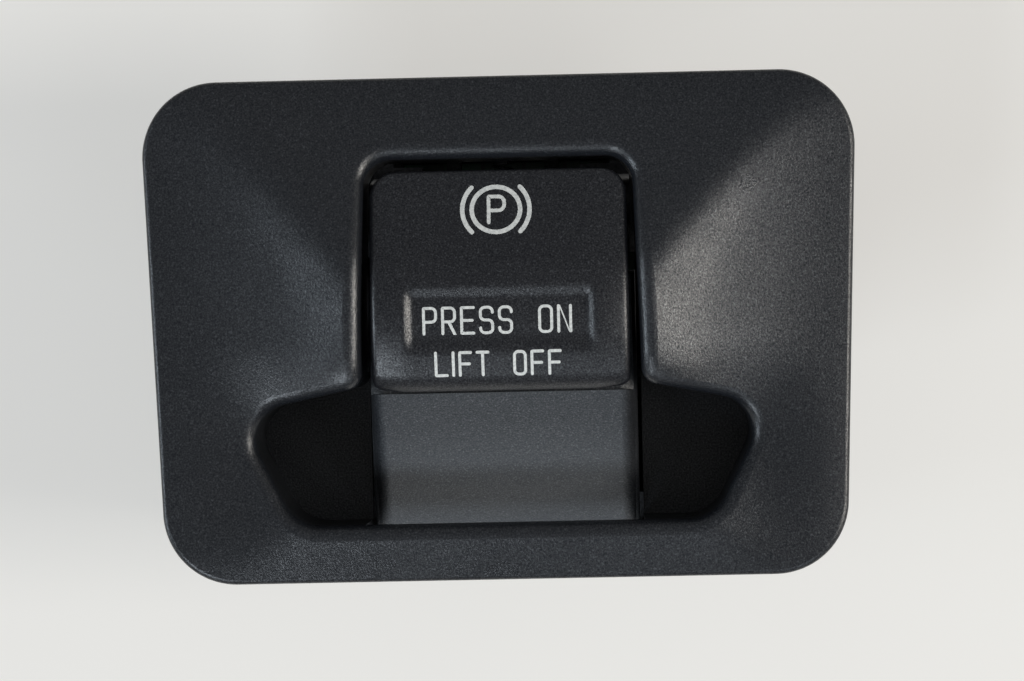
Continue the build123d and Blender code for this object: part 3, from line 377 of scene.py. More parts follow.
# Painted shade: near its upright edges the wedge is painted darker, where the rounding faces the dark wells.
painted_edge_shade = add(tree, "ShaderNodeMapRange", [middle_out, 16.4 * MM, 17.7 * MM, 0, darkest_edge_shade])
# The scratch is a real mark; the paler foot is painted light and the darker edges are painted shade.
for cover, colour in ((scratch, "#1c1d20"), (painted_foot_light, "#85888c"), (painted_edge_shade, "#17181b")):
    tint(tree, shader, cover, colour)
rubbed_from, rubbed_reach, rubbed_radius = 16.3, 2, 1.6
past = add(tree, "ShaderNodeMapRange", [
    middle_out, rubbed_from * MM, (rubbed_from + rubbed_reach) * MM, 0, rubbed_reach,
])
fall = add(tree, "ShaderNodeMath", [past, past], operation="MULTIPLY")
fall = add(tree, "ShaderNodeMath", [fall, -0.5 / rubbed_radius], operation="MULTIPLY")
grain_relief = feeding(shader, "Normal")
rubbed = add(tree, "ShaderNodeBump", {
    "Height": fall, "Distance": MM, "Strength": 1.0, "Normal": grain_relief,
})
tree.links.new(rubbed.outputs[0], shader.inputs["Normal"])
print("cap grain", cap_grain, "mm, grip grain", grip_grain, "mm")

# %% [markdown]
# ### Pad-printed ink
#
# The sign and the words are printed on the cap with a soft pad, in a pale grey two-part ink.
# The layer is a few hundredths of a millimetre thick, matt, and slightly uneven in cover.

# %% Ink
pad_ink, tree = new_material("pad_ink")
place = add(tree, "ShaderNodeTexCoord").outputs["Object"]
ink_patch = 0.35
cover = add(tree, "ShaderNodeTexNoise", {"Vector": place, "Scale": 1 / (ink_patch * MM), "Detail": 2})
shade = add(tree, "ShaderNodeMapRange", [cover, 0.35, 0.7, 0, 1])
ink_full, ink_thin = "#dcddd9", "#bcbebc"
ink = add(tree, "ShaderNodeMix", {0: shade, 6: linear(ink_full), 7: linear(ink_thin)}, data_type="RGBA")
dry = add(tree, "ShaderNodeBump", {"Height": cover, "Distance": 0.006 * MM})
shader = add(tree, "ShaderNodeBsdfPrincipled", {
    "Base Color": ink.outputs[2], "Roughness": 0.55, "Normal": dry,
})
add(tree, "ShaderNodeOutputMaterial", {"Surface": shader})
print("ink from", ink_thin, "to", ink_full)

# %% [markdown]
# ### Plastics behind the plate
#
# The housing, its cover and the terminal holder are PBT filled with short glass fibres. The
# fibres follow the flow in the mould and leave faint lengthwise streaks. The contact slider
# is natural acetal: milky white, slippery, a little see-through, and it picks up grey dust
# from the contacts. The stop pads are black rubber with a dull, powdery skin.

# %% Housing, slider and pad plastics
filled_pbt, tree, shader, place = moulded("filled_pbt", "#191a1d", "#3a3c40", 0.62, 0.4, 0.02, glint_share=0.25)
streak_width, streak_stretch = 0.8, 0.12
flow = add(tree, "ShaderNodeMapping", {"Vector": place, "Scale": (1, 1, streak_stretch)})
streak = patches(tree, flow, streak_width, 3, 0.45, 0.75, 0, 0.5)
tint(tree, shader, streak, "#1f2125")

natural_acetal, tree, shader, place = moulded("natural_acetal", "#d6d3c9", "#e4e2da", 0.33, 0.6, 0.004)
shader.inputs["Subsurface Weight"].default_value = 0.2
shader.inputs["Subsurface Radius"].default_value = (1 * MM, 1 * MM, 0.8 * MM)
dirty = patches(tree, place, 3, 5, 0.55, 0.8, 0, 0.4)
tint(tree, shader, dirty, "#8f8d86")

pad_rubber, tree, shader = moulded("pad_rubber", "#141414", "#3a3a3a", 0.78, 0.3, 0.02, glint_share=0.3)[:3]
shader.inputs["IOR"].default_value = 1.52
print("housing streaks", streak_width, "mm wide")

# %% [markdown]
# ## Metals
#
# A metal has no colour under its shine: its base colour is the tint of the mirror. What tells
# one from another is the tint, the roughness and the marks of how it was made. Spring steel is
# drawn or rolled, with lines along it and a film of oil. A pin is ground on its round, with
# lines around it. Zinc plating is cloudy, with a blue to yellow tinge. A sintered bronze bush
# is pressed from powder and full of pores. The contacts are gold-flashed copper. The lines of
# a real grinding wheel are a few hundredths of a millimetre apart and are drawn at 0.1 mm,
# the finest that shows in a close picture.

# %% Metals
cloud_width, film_spread = 2.5, 0.06


def metal(name, tint, other, roughness, scale, marks, relief):
    """A metal with marks of one size in millimetres. scale stretches them along an axis."""
    material, tree = new_material(name)
    place = add(tree, "ShaderNodeTexCoord").outputs["Object"]
    along = add(tree, "ShaderNodeMapping", {"Vector": place, "Scale": scale})
    lines = add(tree, "ShaderNodeTexNoise", {"Vector": along, "Scale": 1 / (marks * MM), "Detail": 3})
    clouds = add(tree, "ShaderNodeTexNoise", {"Vector": place, "Scale": 1 / (cloud_width * MM), "Detail": 3})
    spread = add(tree, "ShaderNodeMapRange", [clouds, 0.35, 0.65, 0, 1])
    mirror = add(tree, "ShaderNodeMix", {0: spread, 6: linear(tint), 7: linear(other)}, data_type="RGBA")
    film = add(tree, "ShaderNodeMapRange", [
        clouds, 0.3, 0.7, roughness - film_spread, roughness + film_spread,
    ])
    cut = add(tree, "ShaderNodeBump", {"Height": lines, "Distance": relief * MM})
    shader = add(tree, "ShaderNodeBsdfPrincipled", {
        "Base Color": mirror.outputs[2], "Roughness": film, "Normal": cut, "Metallic": 1.0,
    })
    add(tree, "ShaderNodeOutputMaterial", {"Surface": shader})
    return material


oiled_spring_steel = metal("oiled_spring_steel", "#8b8c8e", "#75767a", 0.3, (1, 1, 0.1), 0.15, 0.004)
pin_steel = metal("ground_pin_steel", "#b9babb", "#a6a8aa", 0.22, (1, 0.15, 0.15), 0.1, 0.002)
zinc_plate = metal("zinc_plate", "#a9b0b8", "#b4ad98", 0.34, (1, 1, 1), 0.3, 0.006)
sintered_bronze = metal("sintered_bronze", "#a87b45", "#8a6238", 0.48, (1, 1, 1), 0.12, 0.02)
gold_flash = metal("gold_flash", "#d8b25e", "#cfa350", 0.27, (1, 0.2, 1), 0.12, 0.002)
bright_tin = metal("bright_tin", "#c6c8ca", "#b6b9bc", 0.25, (1, 1, 1), 0.2, 0.003)
metals = (oiled_spring_steel, pin_steel, zinc_plate, sintered_bronze, gold_flash, bright_tin)
print("metals:", [finish.name for finish in metals])

# %% [markdown]
# ## The board's finishes
#
# The board is glass cloth in epoxy under a green solder resist. The cloth's weave, half a
# millimetre a thread, lifts the resist a little, and where copper lies below, the green is
# lighter. The chip is moulded black epoxy, the lamps' bodies are white ceramic with a yellow
# layer that turns their blue light white, and the light guide is clear polycarbonate.

# %% Board, chip, lamp and guide
# The wave texture repeats ten times in pi units, and one repeat holds two threads.
weave_scale, copper_width = 3.1, 6
thread = weave_scale * pi / 20
solder_resist, tree = new_material("solder_resist")
place = add(tree, "ShaderNodeTexCoord").outputs["Object"]
flat = add(tree, "ShaderNodeMapping", {"Vector": place, "Rotation": (radians(90), 0, 0)})
copper = add(tree, "ShaderNodeTexBrick", {
    "Vector": flat, "Scale": 1 / (copper_width * MM), "Mortar Size": 0.05, "Mortar Smooth": 0.1,
    "Color1": linear("#124a2b"), "Color2": linear("#0f4227"), "Mortar": linear("#082a19"),
    "Brick Width": 1.0, "Row Height": 0.42,
})
threads = {"Vector": flat, "Scale": 1 / (weave_scale * MM), "Distortion": 0.5}
warp = add(tree, "ShaderNodeTexWave", threads, bands_direction="X")
weft = add(tree, "ShaderNodeTexWave", threads, bands_direction="Y")
cloth = add(tree, "ShaderNodeMath", [warp.outputs["Fac"], weft.outputs["Fac"]], operation="MULTIPLY")
lift = add(tree, "ShaderNodeBump", {"Height": cloth, "Distance": 0.01 * MM})
shader = add(tree, "ShaderNodeBsdfPrincipled", {
    "Base Color": copper.outputs["Color"], "Roughness": 0.3, "Normal": lift, "IOR": 1.55,
})
add(tree, "ShaderNodeOutputMaterial", {"Surface": shader})

chip_epoxy = moulded("chip_epoxy", "#17181a", "#3a3b3d", 0.6, 0.15, 0.01, glint_share=0.25)[0]
lamp_ceramic = moulded("lamp_ceramic", "#e4e2da", "#f0efea", 0.45, 0.3, 0.004)[0]
part_ceramic = moulded("part_ceramic", "#8a7358", "#a89274", 0.5, 0.2, 0.006)[0]
lamp_phosphor = moulded("lamp_phosphor", "#dfc94a", "#efe08a", 0.25, 0.15, 0.003)[0]

clear_polycarbonate, tree = new_material("clear_polycarbonate")
place = add(tree, "ShaderNodeTexCoord").outputs["Object"]
ripple = add(tree, "ShaderNodeTexNoise", {"Vector": place, "Scale": 1 / (4 * MM), "Detail": 1})
flowed = add(tree, "ShaderNodeBump", {"Height": ripple, "Distance": 0.02 * MM})
shader = add(tree, "ShaderNodeBsdfPrincipled", {
    "Base Color": linear("#f1f4f4"), "Roughness": 0.06, "Normal": flowed,
    "IOR": 1.585, "Transmission Weight": 1.0,
})
add(tree, "ShaderNodeOutputMaterial", {"Surface": shader})
print("weave thread", round(thread, 2), "mm")

# %% [markdown]
# ## The key's side view
#
# The key's cap follows the crest of the hood, a little lower: a straight flank on top, one arc
# of 25 mm radius, then a tight nose. Bending a flat plate over this line is easier than
# modelling the curved one, as a sheet-metal worker would say too: cut and punch it flat, then
# form it. So the line comes first, as a curve of many short steps in the plane of symmetry.
# A length along the line takes the place of a height on the flat plate.

# %% Side view of the key
plate_top, plate_bottom, flange = 35.2, -34.8, 2.4
tilt_top, tilt_bottom = radians(16), radians(13)
crest_radius = 25.0
key_half, key_top, key_bottom = 17.75, 22.2, -8.6
key_recess = 0.9
nose_tilt, nose_end_tilt, nose_radius = radians(22), radians(65), 4.0

crossing = plate_top * tan(tilt_top) + plate_bottom * tan(tilt_bottom)
crossing /= tan(tilt_top) + tan(tilt_bottom)
arc_start = crossing + crest_radius * tan((tilt_top + tilt_bottom) / 2) * cos(tilt_top)
centre_z = arc_start - crest_radius * sin(tilt_top)
centre_y = key_recess - flange - (plate_top - arc_start) * tan(tilt_top) + crest_radius * cos(tilt_top)
flank_start = crest_radius * tilt_top
nose_start = -crest_radius * nose_tilt
nose_end = nose_start - nose_radius * (nose_end_tilt - nose_tilt)


def side_point(length):
    """Point (y, z) of the key's face at a length along it, counted up from the crest's height."""
    if length >= nose_start:
        tilt = min(length / crest_radius, tilt_top)
        beyond = length - crest_radius * tilt
        y = centre_y - crest_radius * cos(tilt) + beyond * sin(tilt)
        return y, centre_z + crest_radius * sin(tilt) + beyond * cos(tilt)
    tilt = min(nose_tilt + (nose_start - length) / nose_radius, nose_end_tilt)
    beyond = max(nose_end - length, 0)
    arm = crest_radius - nose_radius
    y = centre_y - arm * cos(nose_tilt) - nose_radius * cos(tilt) + beyond * sin(tilt)
    return y, centre_z - arm * sin(nose_tilt) - nose_radius * sin(tilt) - beyond * cos(tilt)


def length_at(height):
    """Length along the face, for a height seen from the front."""
    if height > centre_z + crest_radius * sin(tilt_top):
        return flank_start + (height - side_point(flank_start)[1]) / cos(tilt_top)
    return crest_radius * asin((height - centre_z) / crest_radius)


length_top = length_at(key_top)
length_bottom = nose_end - (side_point(nose_end)[1] - key_bottom) / cos(nose_end_tilt)
line_low, line_high, line_step = length_bottom - 2, length_top + 2, 0.05
steps = ceil((line_high - line_low) / line_step)
lengths = [line_low + (line_high - line_low) * i / steps for i in range(steps + 1)]
side_line = bpy.data.curves.new("side_view", "CURVE")
side_line.dimensions = "3D"
spline = side_line.splines.new("POLY")
spline.points.add(len(lengths) - 1)
for point, length in zip(spline.points, lengths):
    y, z = side_point(length)
    point.co = (0, y * MM, z * MM, 1)
side_view = new_object("side_view", side_line)
print("face is", round(length_top - length_bottom, 2), "mm long, from", round(length_bottom, 2))

# %% [markdown]
# ## Bending with Geometry Nodes
#
# The tree reads each point of the flat piece as three numbers: x stays, z is a length along
# the side view, and y is a depth under the face. It looks up the place and the direction of
# the line at that length, and steps inwards from it by the depth. The same tree wraps the cap
# and everything that is printed on it, so the two always fit. Each tree of this lesson starts
# with its named inputs and ends by making its result real and giving it a finish, so two
# functions do that.

# %% Start and end of a tree


def start_tree(name, inputs):
    """A Geometry Nodes tree, its inputs' identifiers by name, and the inputs inside the tree."""
    tree = bpy.data.node_groups.new(name, "GeometryNodeTree")
    identifiers = {}
    for label, kind in inputs.items():
        socket = tree.interface.new_socket(label, in_out="INPUT", socket_type="NodeSocket" + kind)
        identifiers[label] = socket.identifier
    tree.interface.new_socket("Result", in_out="OUTPUT", socket_type="NodeSocketGeometry")
    return tree, identifiers, add(tree, "NodeGroupInput").outputs


def end_tree(tree, shape, finish):
    """Makes the shape real, gives it its finish and hands it out."""
    whole = add(tree, "GeometryNodeRealizeInstances", [shape])
    dressed = add(tree, "GeometryNodeSetMaterial", {"Geometry": whole, "Material": finish})
    add(tree, "NodeGroupOutput", [dressed])
    print(tree.name, "has", len(tree.nodes), "nodes")


# %% Tree that wraps a flat piece over a line
wrap, wrap_inputs, given = start_tree("wrap_over_line", {
    "Piece": "Geometry", "Line": "Object", "Length at zero": "Float", "Finish": "Material",
})
line = add(wrap, "GeometryNodeObjectInfo", {"Object": given["Line"]}, transform_space="ORIGINAL")
flat = add(wrap, "ShaderNodeSeparateXYZ", [add(wrap, "GeometryNodeInputPosition")])
length = add(wrap, "ShaderNodeMath", [flat.outputs["Z"], given["Length at zero"]], operation="ADD")
lookup = add(wrap, "GeometryNodeSampleCurve", mode="LENGTH")
wrap.links.new(line.outputs["Geometry"], lookup.inputs["Curves"])
wrap.links.new(length.outputs[0], lookup.inputs["Length"])
tangent = lookup.outputs["Tangent"]
inwards = add(wrap, "ShaderNodeVectorMath", [tangent, (1, 0, 0)], operation="CROSS_PRODUCT")
inset = add(wrap, "ShaderNodeVectorMath", {0: inwards, "Scale": flat.outputs["Y"]}, operation="SCALE")
sideways = add(wrap, "ShaderNodeCombineXYZ", {"X": flat.outputs["X"]})
wrapped = add(wrap, "ShaderNodeVectorMath", [lookup.outputs["Position"], inset], operation="ADD")
wrapped = add(wrap, "ShaderNodeVectorMath", [wrapped, sideways], operation="ADD")
moved = add(wrap, "GeometryNodeSetPosition", {"Geometry": given["Piece"], "Position": wrapped})
end_tree(wrap, moved, given["Finish"])

# %% From a tree's result to a plain mesh
smooth_up_to = radians(40)


def plain_mesh(piece, name):
    """What an object's modifiers make of it, as a new object with a plain mesh at the origin."""
    shown = piece.evaluated_get(bpy.context.evaluated_depsgraph_get())
    made = new_object(name, bpy.data.meshes.new_from_object(shown))
    bpy.data.objects.remove(piece)
    made.name = made.data.name = name
    made.data.polygons.foreach_set("use_smooth", [True] * len(made.data.polygons))
    made.data.set_sharp_from_angle(angle=smooth_up_to)
    return made


def grown(piece, tree, inputs, values, name):
    """What a tree makes of an object with some values for its inputs, as a plain mesh."""
    modifier = piece.modifiers.new(tree.name, "NODES")
    modifier.node_group = tree
    for label, value in values.items():
        modifier[inputs[label]] = value
    return plain_mesh(piece, name)


def from_bmesh(name, shape):
    """An object from a shape under construction, which ends here."""
    mesh = bpy.data.meshes.new(name)
    shape.to_mesh(mesh)
    shape.free()
    return new_object(name, mesh)


def from_faces(name, points, faces):
    """A mesh object from points in millimetres, its doubles merged."""
    shape = bmesh.new()
    corners = [shape.verts.new([c * MM for c in point]) for point in points]
    for face in faces:
        shape.faces.new([corners[i] for i in face])
    bmesh.ops.remove_doubles(shape, verts=shape.verts, dist=0.0005 * MM)
    bmesh.ops.dissolve_degenerate(shape, edges=shape.edges, dist=0.0002 * MM)
    bmesh.ops.recalc_face_normals(shape, faces=shape.faces)
    return from_bmesh(name, shape)


def wrapped_piece(flat_piece, name, finish, body):
    """Runs the wrap tree on a flat piece and hands the plain result to its body."""
    values = {"Line": side_view, "Length at zero": -line_low * MM, "Finish": finish}
    made = grown(flat_piece, wrap, wrap_inputs, values, name)
    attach(made, body)
    print(name, len(made.data.polygons), "faces")
    return made


print("edges above", round(degrees(smooth_up_to)), "degrees stay sharp")

# %% [markdown]
# ## The key cap
#
# The cap is a curved plate with a skirt, its edges rounded by 0.8 mm, with a shallow dish for
# the thumb, and its face falls off a little towards the sides. On the flat it is a rounded
# rectangle. It is made as a sheet in two layers: a fine grid in the middle, and rings of
# points round it that run over the edge, down the skirt, back inside and under the grid. A
# ring's points are straight beside the grid and follow the corner's arc beyond it, so the
# corners stay clean. The dish is only a depth that is added to the grid, with a short soft
# wall at each end and longer ones above and below.

# %% Sizes of the flat cap
edge_round, foot_round = 0.8, 0.4
cap_wall, skirt, foot_skirt = 1.8, 3.4, 1.85
border = 3.5
corner_top, corner_foot = 3.5, 1.3
dish_half, dish_top, dish_foot = 13.35, length_at(6.1), length_at(-3.5)
dish_depth, dish_side_wall, dish_top_wall, dish_foot_wall = 0.68, 1.5, 1.9, 2.8
crown_start, crown_depth = 12.0, 0.6


def soft_step(share):
    """From 0 to 1 with level ends."""
    share = min(max(share, 0), 1)
    return share * share * (3 - 2 * share)


def dish(x, length):
    """Depth of the thumb dish at a place on the flat cap."""
    side = soft_step((dish_half - abs(x)) / dish_side_wall)
    above = soft_step((dish_top - length) / dish_top_wall)
    below = soft_step((length - dish_foot) / dish_foot_wall)
    return dish_depth * side * above * below


def crown(x):
    """How far the face falls off towards its sides."""
    return crown_depth * (max(abs(x) - crown_start, 0) / (key_half - crown_start)) ** 2


print("dish", 2 * dish_half, "mm wide,", round(dish_top - dish_foot, 1), "mm along the face")

# %% Flat cap
grid_half = key_half - border
grid_top, grid_foot = length_top - border, length_bottom + border
columns, rows = 114, 84
grid_x = [grid_half * (2 * i / columns - 1) for i in range(columns + 1)]
grid_l = [grid_foot + (grid_top - grid_foot) * k / rows for k in range(rows + 1)]


def corner_points(radius):
    """Corner of the border from its side to its end, for a corner of the given radius."""
    arc = [radians(90) * i / 10 for i in range(11)]
    bent = [(border - radius + radius * cos(a), border - radius + radius * sin(a)) for a in arc]
    return [(border, 0)] + bent + [(0, border)] if radius < border else bent


def border_loop():
    """Points round the grid, counter-clockwise: place on the grid's edge, and step to the outline."""
    top, foot = corner_points(corner_top)[1:-1], corner_points(corner_foot)[1:-1]
    loop = [((x, grid_foot), (0, -border)) for x in grid_x]
    loop += [((grid_half, grid_foot), (out, -along)) for out, along in reversed(foot)]
    loop += [((grid_half, length), (border, 0)) for length in grid_l]
    loop += [((grid_half, grid_top), step) for step in top]
    loop += [((x, grid_top), (0, border)) for x in reversed(grid_x)]
    loop += [((-grid_half, grid_top), (-out, along)) for out, along in reversed(top)]
    loop += [((-grid_half, length), (-border, 0)) for length in reversed(grid_l)]
    loop += [((-grid_half, grid_foot), (-out, -along)) for out, along in foot]
    return loop


def edge_profile(foot_share):
    """Inset and depth from the grid's edge over the rim, down the skirt, back in and under."""
    rounding = edge_round + (foot_round - edge_round) * foot_share
    depth = skirt + (foot_skirt - skirt) * foot_share
    lip = min(0.2, (depth - rounding) / 4)
    run = [(border * (1 - i / 5) + rounding * i / 5, 0) for i in range(6)]
    arc = [radians(15 * i) for i in range(1, 7)]
    run += [(rounding * (1 - sin(a)), rounding * (1 - cos(a))) for a in arc]
    run += [(0, (rounding + depth) / 2), (0, depth - lip), (0.3 * lip, depth - 0.3 * lip), (lip, depth)]
    run += [(cap_wall, depth), (cap_wall, cap_wall), (border, cap_wall)]
    return run


loop = border_loop()
profiles = [edge_profile(max(-along, 0) / hypot(out, along)) for place, (out, along) in loop]
rings = len(profiles[0])
points = [(x, dish(x, length) + crown(x), length) for length in grid_l for x in grid_x]
under = len(points)
points += [(x, cap_wall + crown(x), length) for length in grid_l for x in grid_x]
first_ring = len(points)
for ring in range(rings):
    for ((x, length), (out, along)), profile in zip(loop, profiles):
        inset, depth = profile[ring]
        share = 1 - inset / border
        points.append((x + out * share, depth + crown(x + out * share), length + along * share))
faces = []
for k in range(rows):
    for i in range(columns):
        a = k * (columns + 1) + i
        b, c, d = a + 1, a + columns + 2, a + columns + 1
        faces.append((a, b, c, d))
        faces.append((under + a, under + d, under + c, under + b))
count = len(loop)
for ring in range(rings - 1):
    for j in range(count):
        a, b = first_ring + ring * count + j, first_ring + ring * count + (j + 1) % count
        faces.append((a + count, b + count, b, a))
flat_cap = from_faces("flat_cap", points, faces)
print("flat cap", len(flat_cap.data.vertices), "points,", rings, "rings of", count)

# %% Bend the cap
key_cap = wrapped_piece(flat_cap, "satin_key_cap", satin_cap, "key")
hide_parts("key_cap")

# %% [markdown]
# ## Printed sign and words
#
# The print is made of lines of even width with rounded ends, as if drawn with a pen. Each
# line is a path of short steps, and a ribbon is laid along it. Where two lines would meet,
# one starts at the other's edge, so no two ribbons lie in the same place. The sign is the
# common one for a parking brake on any make: a letter in a ring between two brackets. The
# words are plain ones for the two ways to move the key. All is drawn as seen from the front,
# then each height is turned into a length along the key's face and wrapped with the cap's
# own tree, down into the dish and out of it. The ink lies 0.015 mm above the plastic, which
# is just enough to show, and is 0.03 mm thick.

# %% Pen strokes
printed_points, printed_faces = [], []
step_length = 0.3


def rounded_path(corners, closed=False):
    """A path with arcs at its corners. A corner is (x, z) or (x, z, radius)."""
    path = []
    count = len(corners)
    for i, corner in enumerate(corners):
        here = Vector(corner[:2])
        if len(corner) == 2 or (not closed and i in (0, count - 1)):
            path.append(here)
            continue
        to_last = (Vector(corners[i - 1][:2]) - here).normalized()
        to_next = (Vector(corners[(i + 1) % count][:2]) - here).normalized()
        half = to_last.angle(to_next) / 2
        centre = here + (to_last + to_next).normalized() * corner[2] / sin(half)
        first = here + to_last * corner[2] / tan(half) - centre
        last = here + to_next * corner[2] / tan(half) - centre
        path += [centre + first.slerp(last, t / 8) * corner[2] for t in range(9)]
    return path


def stepped(path, closed):
    """The same path in steps short enough to bend."""
    ends = path[1:] + path[:1] if closed else path[1:]
    short = []
    for a, b in zip(path, ends):
        parts = max(ceil((b - a).length / step_length), 1)
        short += [a.lerp(b, t / parts) for t in range(parts)]
    return short if closed else short + [path[-1]]


def lay(edge_a, edge_b, closed=False):
    """A ribbon between two edges that have as many points, from one edge to the other."""
    start, count = len(printed_points), len(edge_a)
    printed_points.extend([*edge_a, *edge_b])
    for i in range(count if closed else count - 1):
        j = (i + 1) % count
        printed_faces.append((start + i, start + j, start + count + j, start + count + i))


def pen(corners, width, closed=False, ends=(True, True)):
    """A line of the pen along a path, with round ends where they are free."""
    path = stepped(rounded_path(corners, closed), closed)
    count = len(path)
    left, right = [], []
    for i, here in enumerate(path):
        last = path[i - 1] if closed or i else here
        following = path[(i + 1) % count] if closed or i < count - 1 else here
        way = (following - last).normalized()
        across_pen = Vector((-way.y, way.x)) * width / 2
        left.append(here + across_pen)
        right.append(here - across_pen)
    if not closed:
        tips = [Vector((sin(radians(15 * t)), cos(radians(15 * t)))) * width / 2 for t in range(1, 6)]
        if ends[1]:
            way = (path[-1] - path[-2]).normalized()
            across_pen = Vector((-way.y, way.x))
            left += [path[-1] + way * tip.x + across_pen * tip.y for tip in tips]
            right += [path[-1] + way * tip.x - across_pen * tip.y for tip in tips]
        if ends[0]:
            way = (path[0] - path[1]).normalized()
            across_pen = Vector((way.y, -way.x))
            left = [path[0] + way * tip.x + across_pen * tip.y for tip in reversed(tips)] + left
            right = [path[0] + way * tip.x - across_pen * tip.y for tip in reversed(tips)] + right
    lay(left, right, closed)


def shifted(corners, x, z):
    """Corners moved to a place."""
    return [(corner[0] + x, corner[1] + z, *corner[2:]) for corner in corners]


print("pen steps of", step_length, "mm")

# %% Letters


def letter(name, x, z, wide, high, width):
    """One plain letter with its lower left corner of the pen's line at (x, z). Gives its width."""
    half, middle, turn = width / 2, 0.5 * high, 0.38 * wide
    if name == "I":
        pen(shifted([(0, 0), (0, high)], x, z), width)
        return 0
    if name in "PR":
        middle = 0.46 * high
        bowl = [(0, 0), (0, high, 0.1), (wide, high, turn), (wide, middle, turn), (half, middle)]
        pen(shifted(bowl, x, z), width, ends=(True, False))
    if name == "R":
        leg_x, leg_z = x + 0.42 * wide, z + middle - half
        reach = 0.58 * wide - half
        leg = [Vector((leg_x + t * reach / 6, leg_z - t * middle / 6)) for t in range(7)]
        lay(leg, [p + Vector((1.12 * width, 0)) for p in leg])
    if name in "EF":
        foot = [(0, 0, 0.1), (wide, 0)] if name == "E" else [(0, 0)]
        pen(shifted([(wide, high), (0, high, 0.1), *foot], x, z), width)
        pen(shifted([(half, middle), (0.88 * wide, middle)], x, z), width, ends=(False, True))
    if name == "L":
        pen(shifted([(0, high), (0, 0, 0.1), (wide, 0)], x, z), width)
    if name == "T":
        pen(shifted([(0, high), (wide, high)], x, z), width)
        pen(shifted([(wide / 2, high - half), (wide / 2, 0)], x, z), width, ends=(False, True))
    if name == "O":
        oval = [(0, 0, turn), (wide, 0, turn), (wide, high, turn), (0, high, turn)]
        pen(shifted(oval, x, z), width, closed=True)
    if name == "S":
        hook = [(wide, 0.8 * high), (wide, high, turn), (0, high, turn), (0, middle, turn)]
        hook += [(wide, middle, turn), (wide, 0, turn), (0, 0, turn), (0, 0.2 * high)]
        pen(shifted(hook, x, z), width)
    if name == "N":
        pen(shifted([(0, 0), (0, high)], x, z), width)
        pen(shifted([(wide, 0), (wide, high)], x, z), width)
        thick = 1.3 * width
        run, drop = wide - width, high + width - thick
        slope = [Vector((x + half + t * run / 8, z + high + half - t * drop / 8)) for t in range(9)]
        lay(slope, [p - Vector((0, thick)) for p in slope])
    return wide


def write(text, centre_x, centre_z, high, wide, gap, space, width):
    """A line of words about a centre. high and wide are those of the pen's line."""
    advance = [0 if c == "I" else space - gap if c == " " else wide for c in text]
    total = sum(advance) + gap * (len(text) - 1)
    x = centre_x - total / 2
    for c, step in zip(text, advance):
        if c != " ":
            letter(c, x, centre_z - high / 2, wide, high, width)
        x += step + gap
    print(text, "is", round(total + width, 1), "mm wide and", round(high + width, 1), "mm high")


words_x, words_pen = -0.35, 0.4
write("PRESS ON", words_x, 1.2, high=3.6, wide=1.65, gap=0.95, space=2.9, width=words_pen)
write("LIFT OFF", words_x, -4.7, high=3.1, wide=1.5, gap=0.9, space=2.7, width=words_pen)

# %% Sign
sign_x, sign_z, sign_pen = -0.25, 16.45, 0.62
ring_size, bracket_size = (7.3, 6.9), (9.9, 9.5)


def round_sign(size, angles, side=1):
    """Points on an oval about the sign's centre, for a line with its outer edge of that size."""
    half_x, half_z = [(outer - sign_pen) / 2 for outer in size]
    return [(sign_x + side * half_x * cos(a), sign_z + half_z * sin(a)) for a in angles]


pen(round_sign(ring_size, [radians(10 * i) for i in range(36)]), sign_pen, closed=True)
for side in (-1, 1):
    pen(round_sign(bracket_size, [radians(-44 + 8 * i) for i in range(12)], side), sign_pen)
letter("P", sign_x - 1.0, sign_z - 1.8, wide=2.15, high=3.6, width=0.5)
print("ring", ring_size, "mm, brackets", bracket_size, "mm")

# %% Wrap the print over the cap
lift, ink_thickness = 0.015, 0.03
flat_points = []
for x, z in printed_points:
    along = length_at(z)
    flat_points.append((x, dish(x, along) + crown(x) - lift, along))
flat_print = from_faces("flat_print", flat_points, printed_faces)
turn_over = bmesh.new()
turn_over.from_mesh(flat_print.data)
turn_over.normal_update()
backwards = [face for face in turn_over.faces if face.normal.y > 0]
bmesh.ops.reverse_faces(turn_over, faces=backwards)
turn_over.to_mesh(flat_print.data)
turn_over.free()
ink_layer = flat_print.modifiers.new("ink_layer", "SOLIDIFY")
ink_layer.thickness = ink_thickness * MM
ink_layer.offset = -1
wrapped_piece(flat_print, "printed_sign_and_words", pad_ink, "key")

# %% [markdown]
# ## Places of repeated parts
#
# A measured part such as the screws is one object with several loose bodies. Their places are
# read from it, so the finer copies go exactly where the measured ones are. The mesh is loose
# triangles, so it is copied and merged first, then split into the bodies that hang together.

# %% Find the loose bodies of a measured part


def bodies_of(node):
    """Lowest and highest corner of each loose body of a measured part, from left to right."""
    shape = bmesh.new()
    shape.from_mesh(nodes[node].data)
    bmesh.ops.remove_doubles(shape, verts=shape.verts, dist=0.001 * MM)
    shape.verts.ensure_lookup_table()
    unseen, found = set(shape.verts), []
    while unseen:
        group, front_line = set(), [unseen.pop()]
        while front_line:
            vert = front_line.pop()
            group.add(vert)
            for edge in vert.link_edges:
                other = edge.other_vert(vert)
                if other in unseen:
                    unseen.remove(other)
                    front_line.append(other)
        low = Vector([min(v.co[i] for v in group) for i in range(3)])
        high = Vector([max(v.co[i] for v in group) for i in range(3)])
        found.append((low, high))
    shape.free()
    return sorted(found, key=lambda pair: (round(pair[0].x, 5), pair[0].z))


screw_places = {node: bodies_of(node) for node in ("housing_screws", "cover_screws", "board_screws")}
for node, places in screw_places.items():
    print(node, [tuple(round(c / MM, 1) for c in (low + high) / 2) for low, high in places])

# %% [markdown]
# ## Copies by Geometry Nodes
#
# One small tree puts a part on every point of a mesh. A screw stops at a different angle in
# each hole, so the tree can also turn the copies about the screw's own axis by a random angle
# with a fixed seed. It ends by making the copies real and giving them their finish, because an
# instance isn't kept when the model leaves Blender.

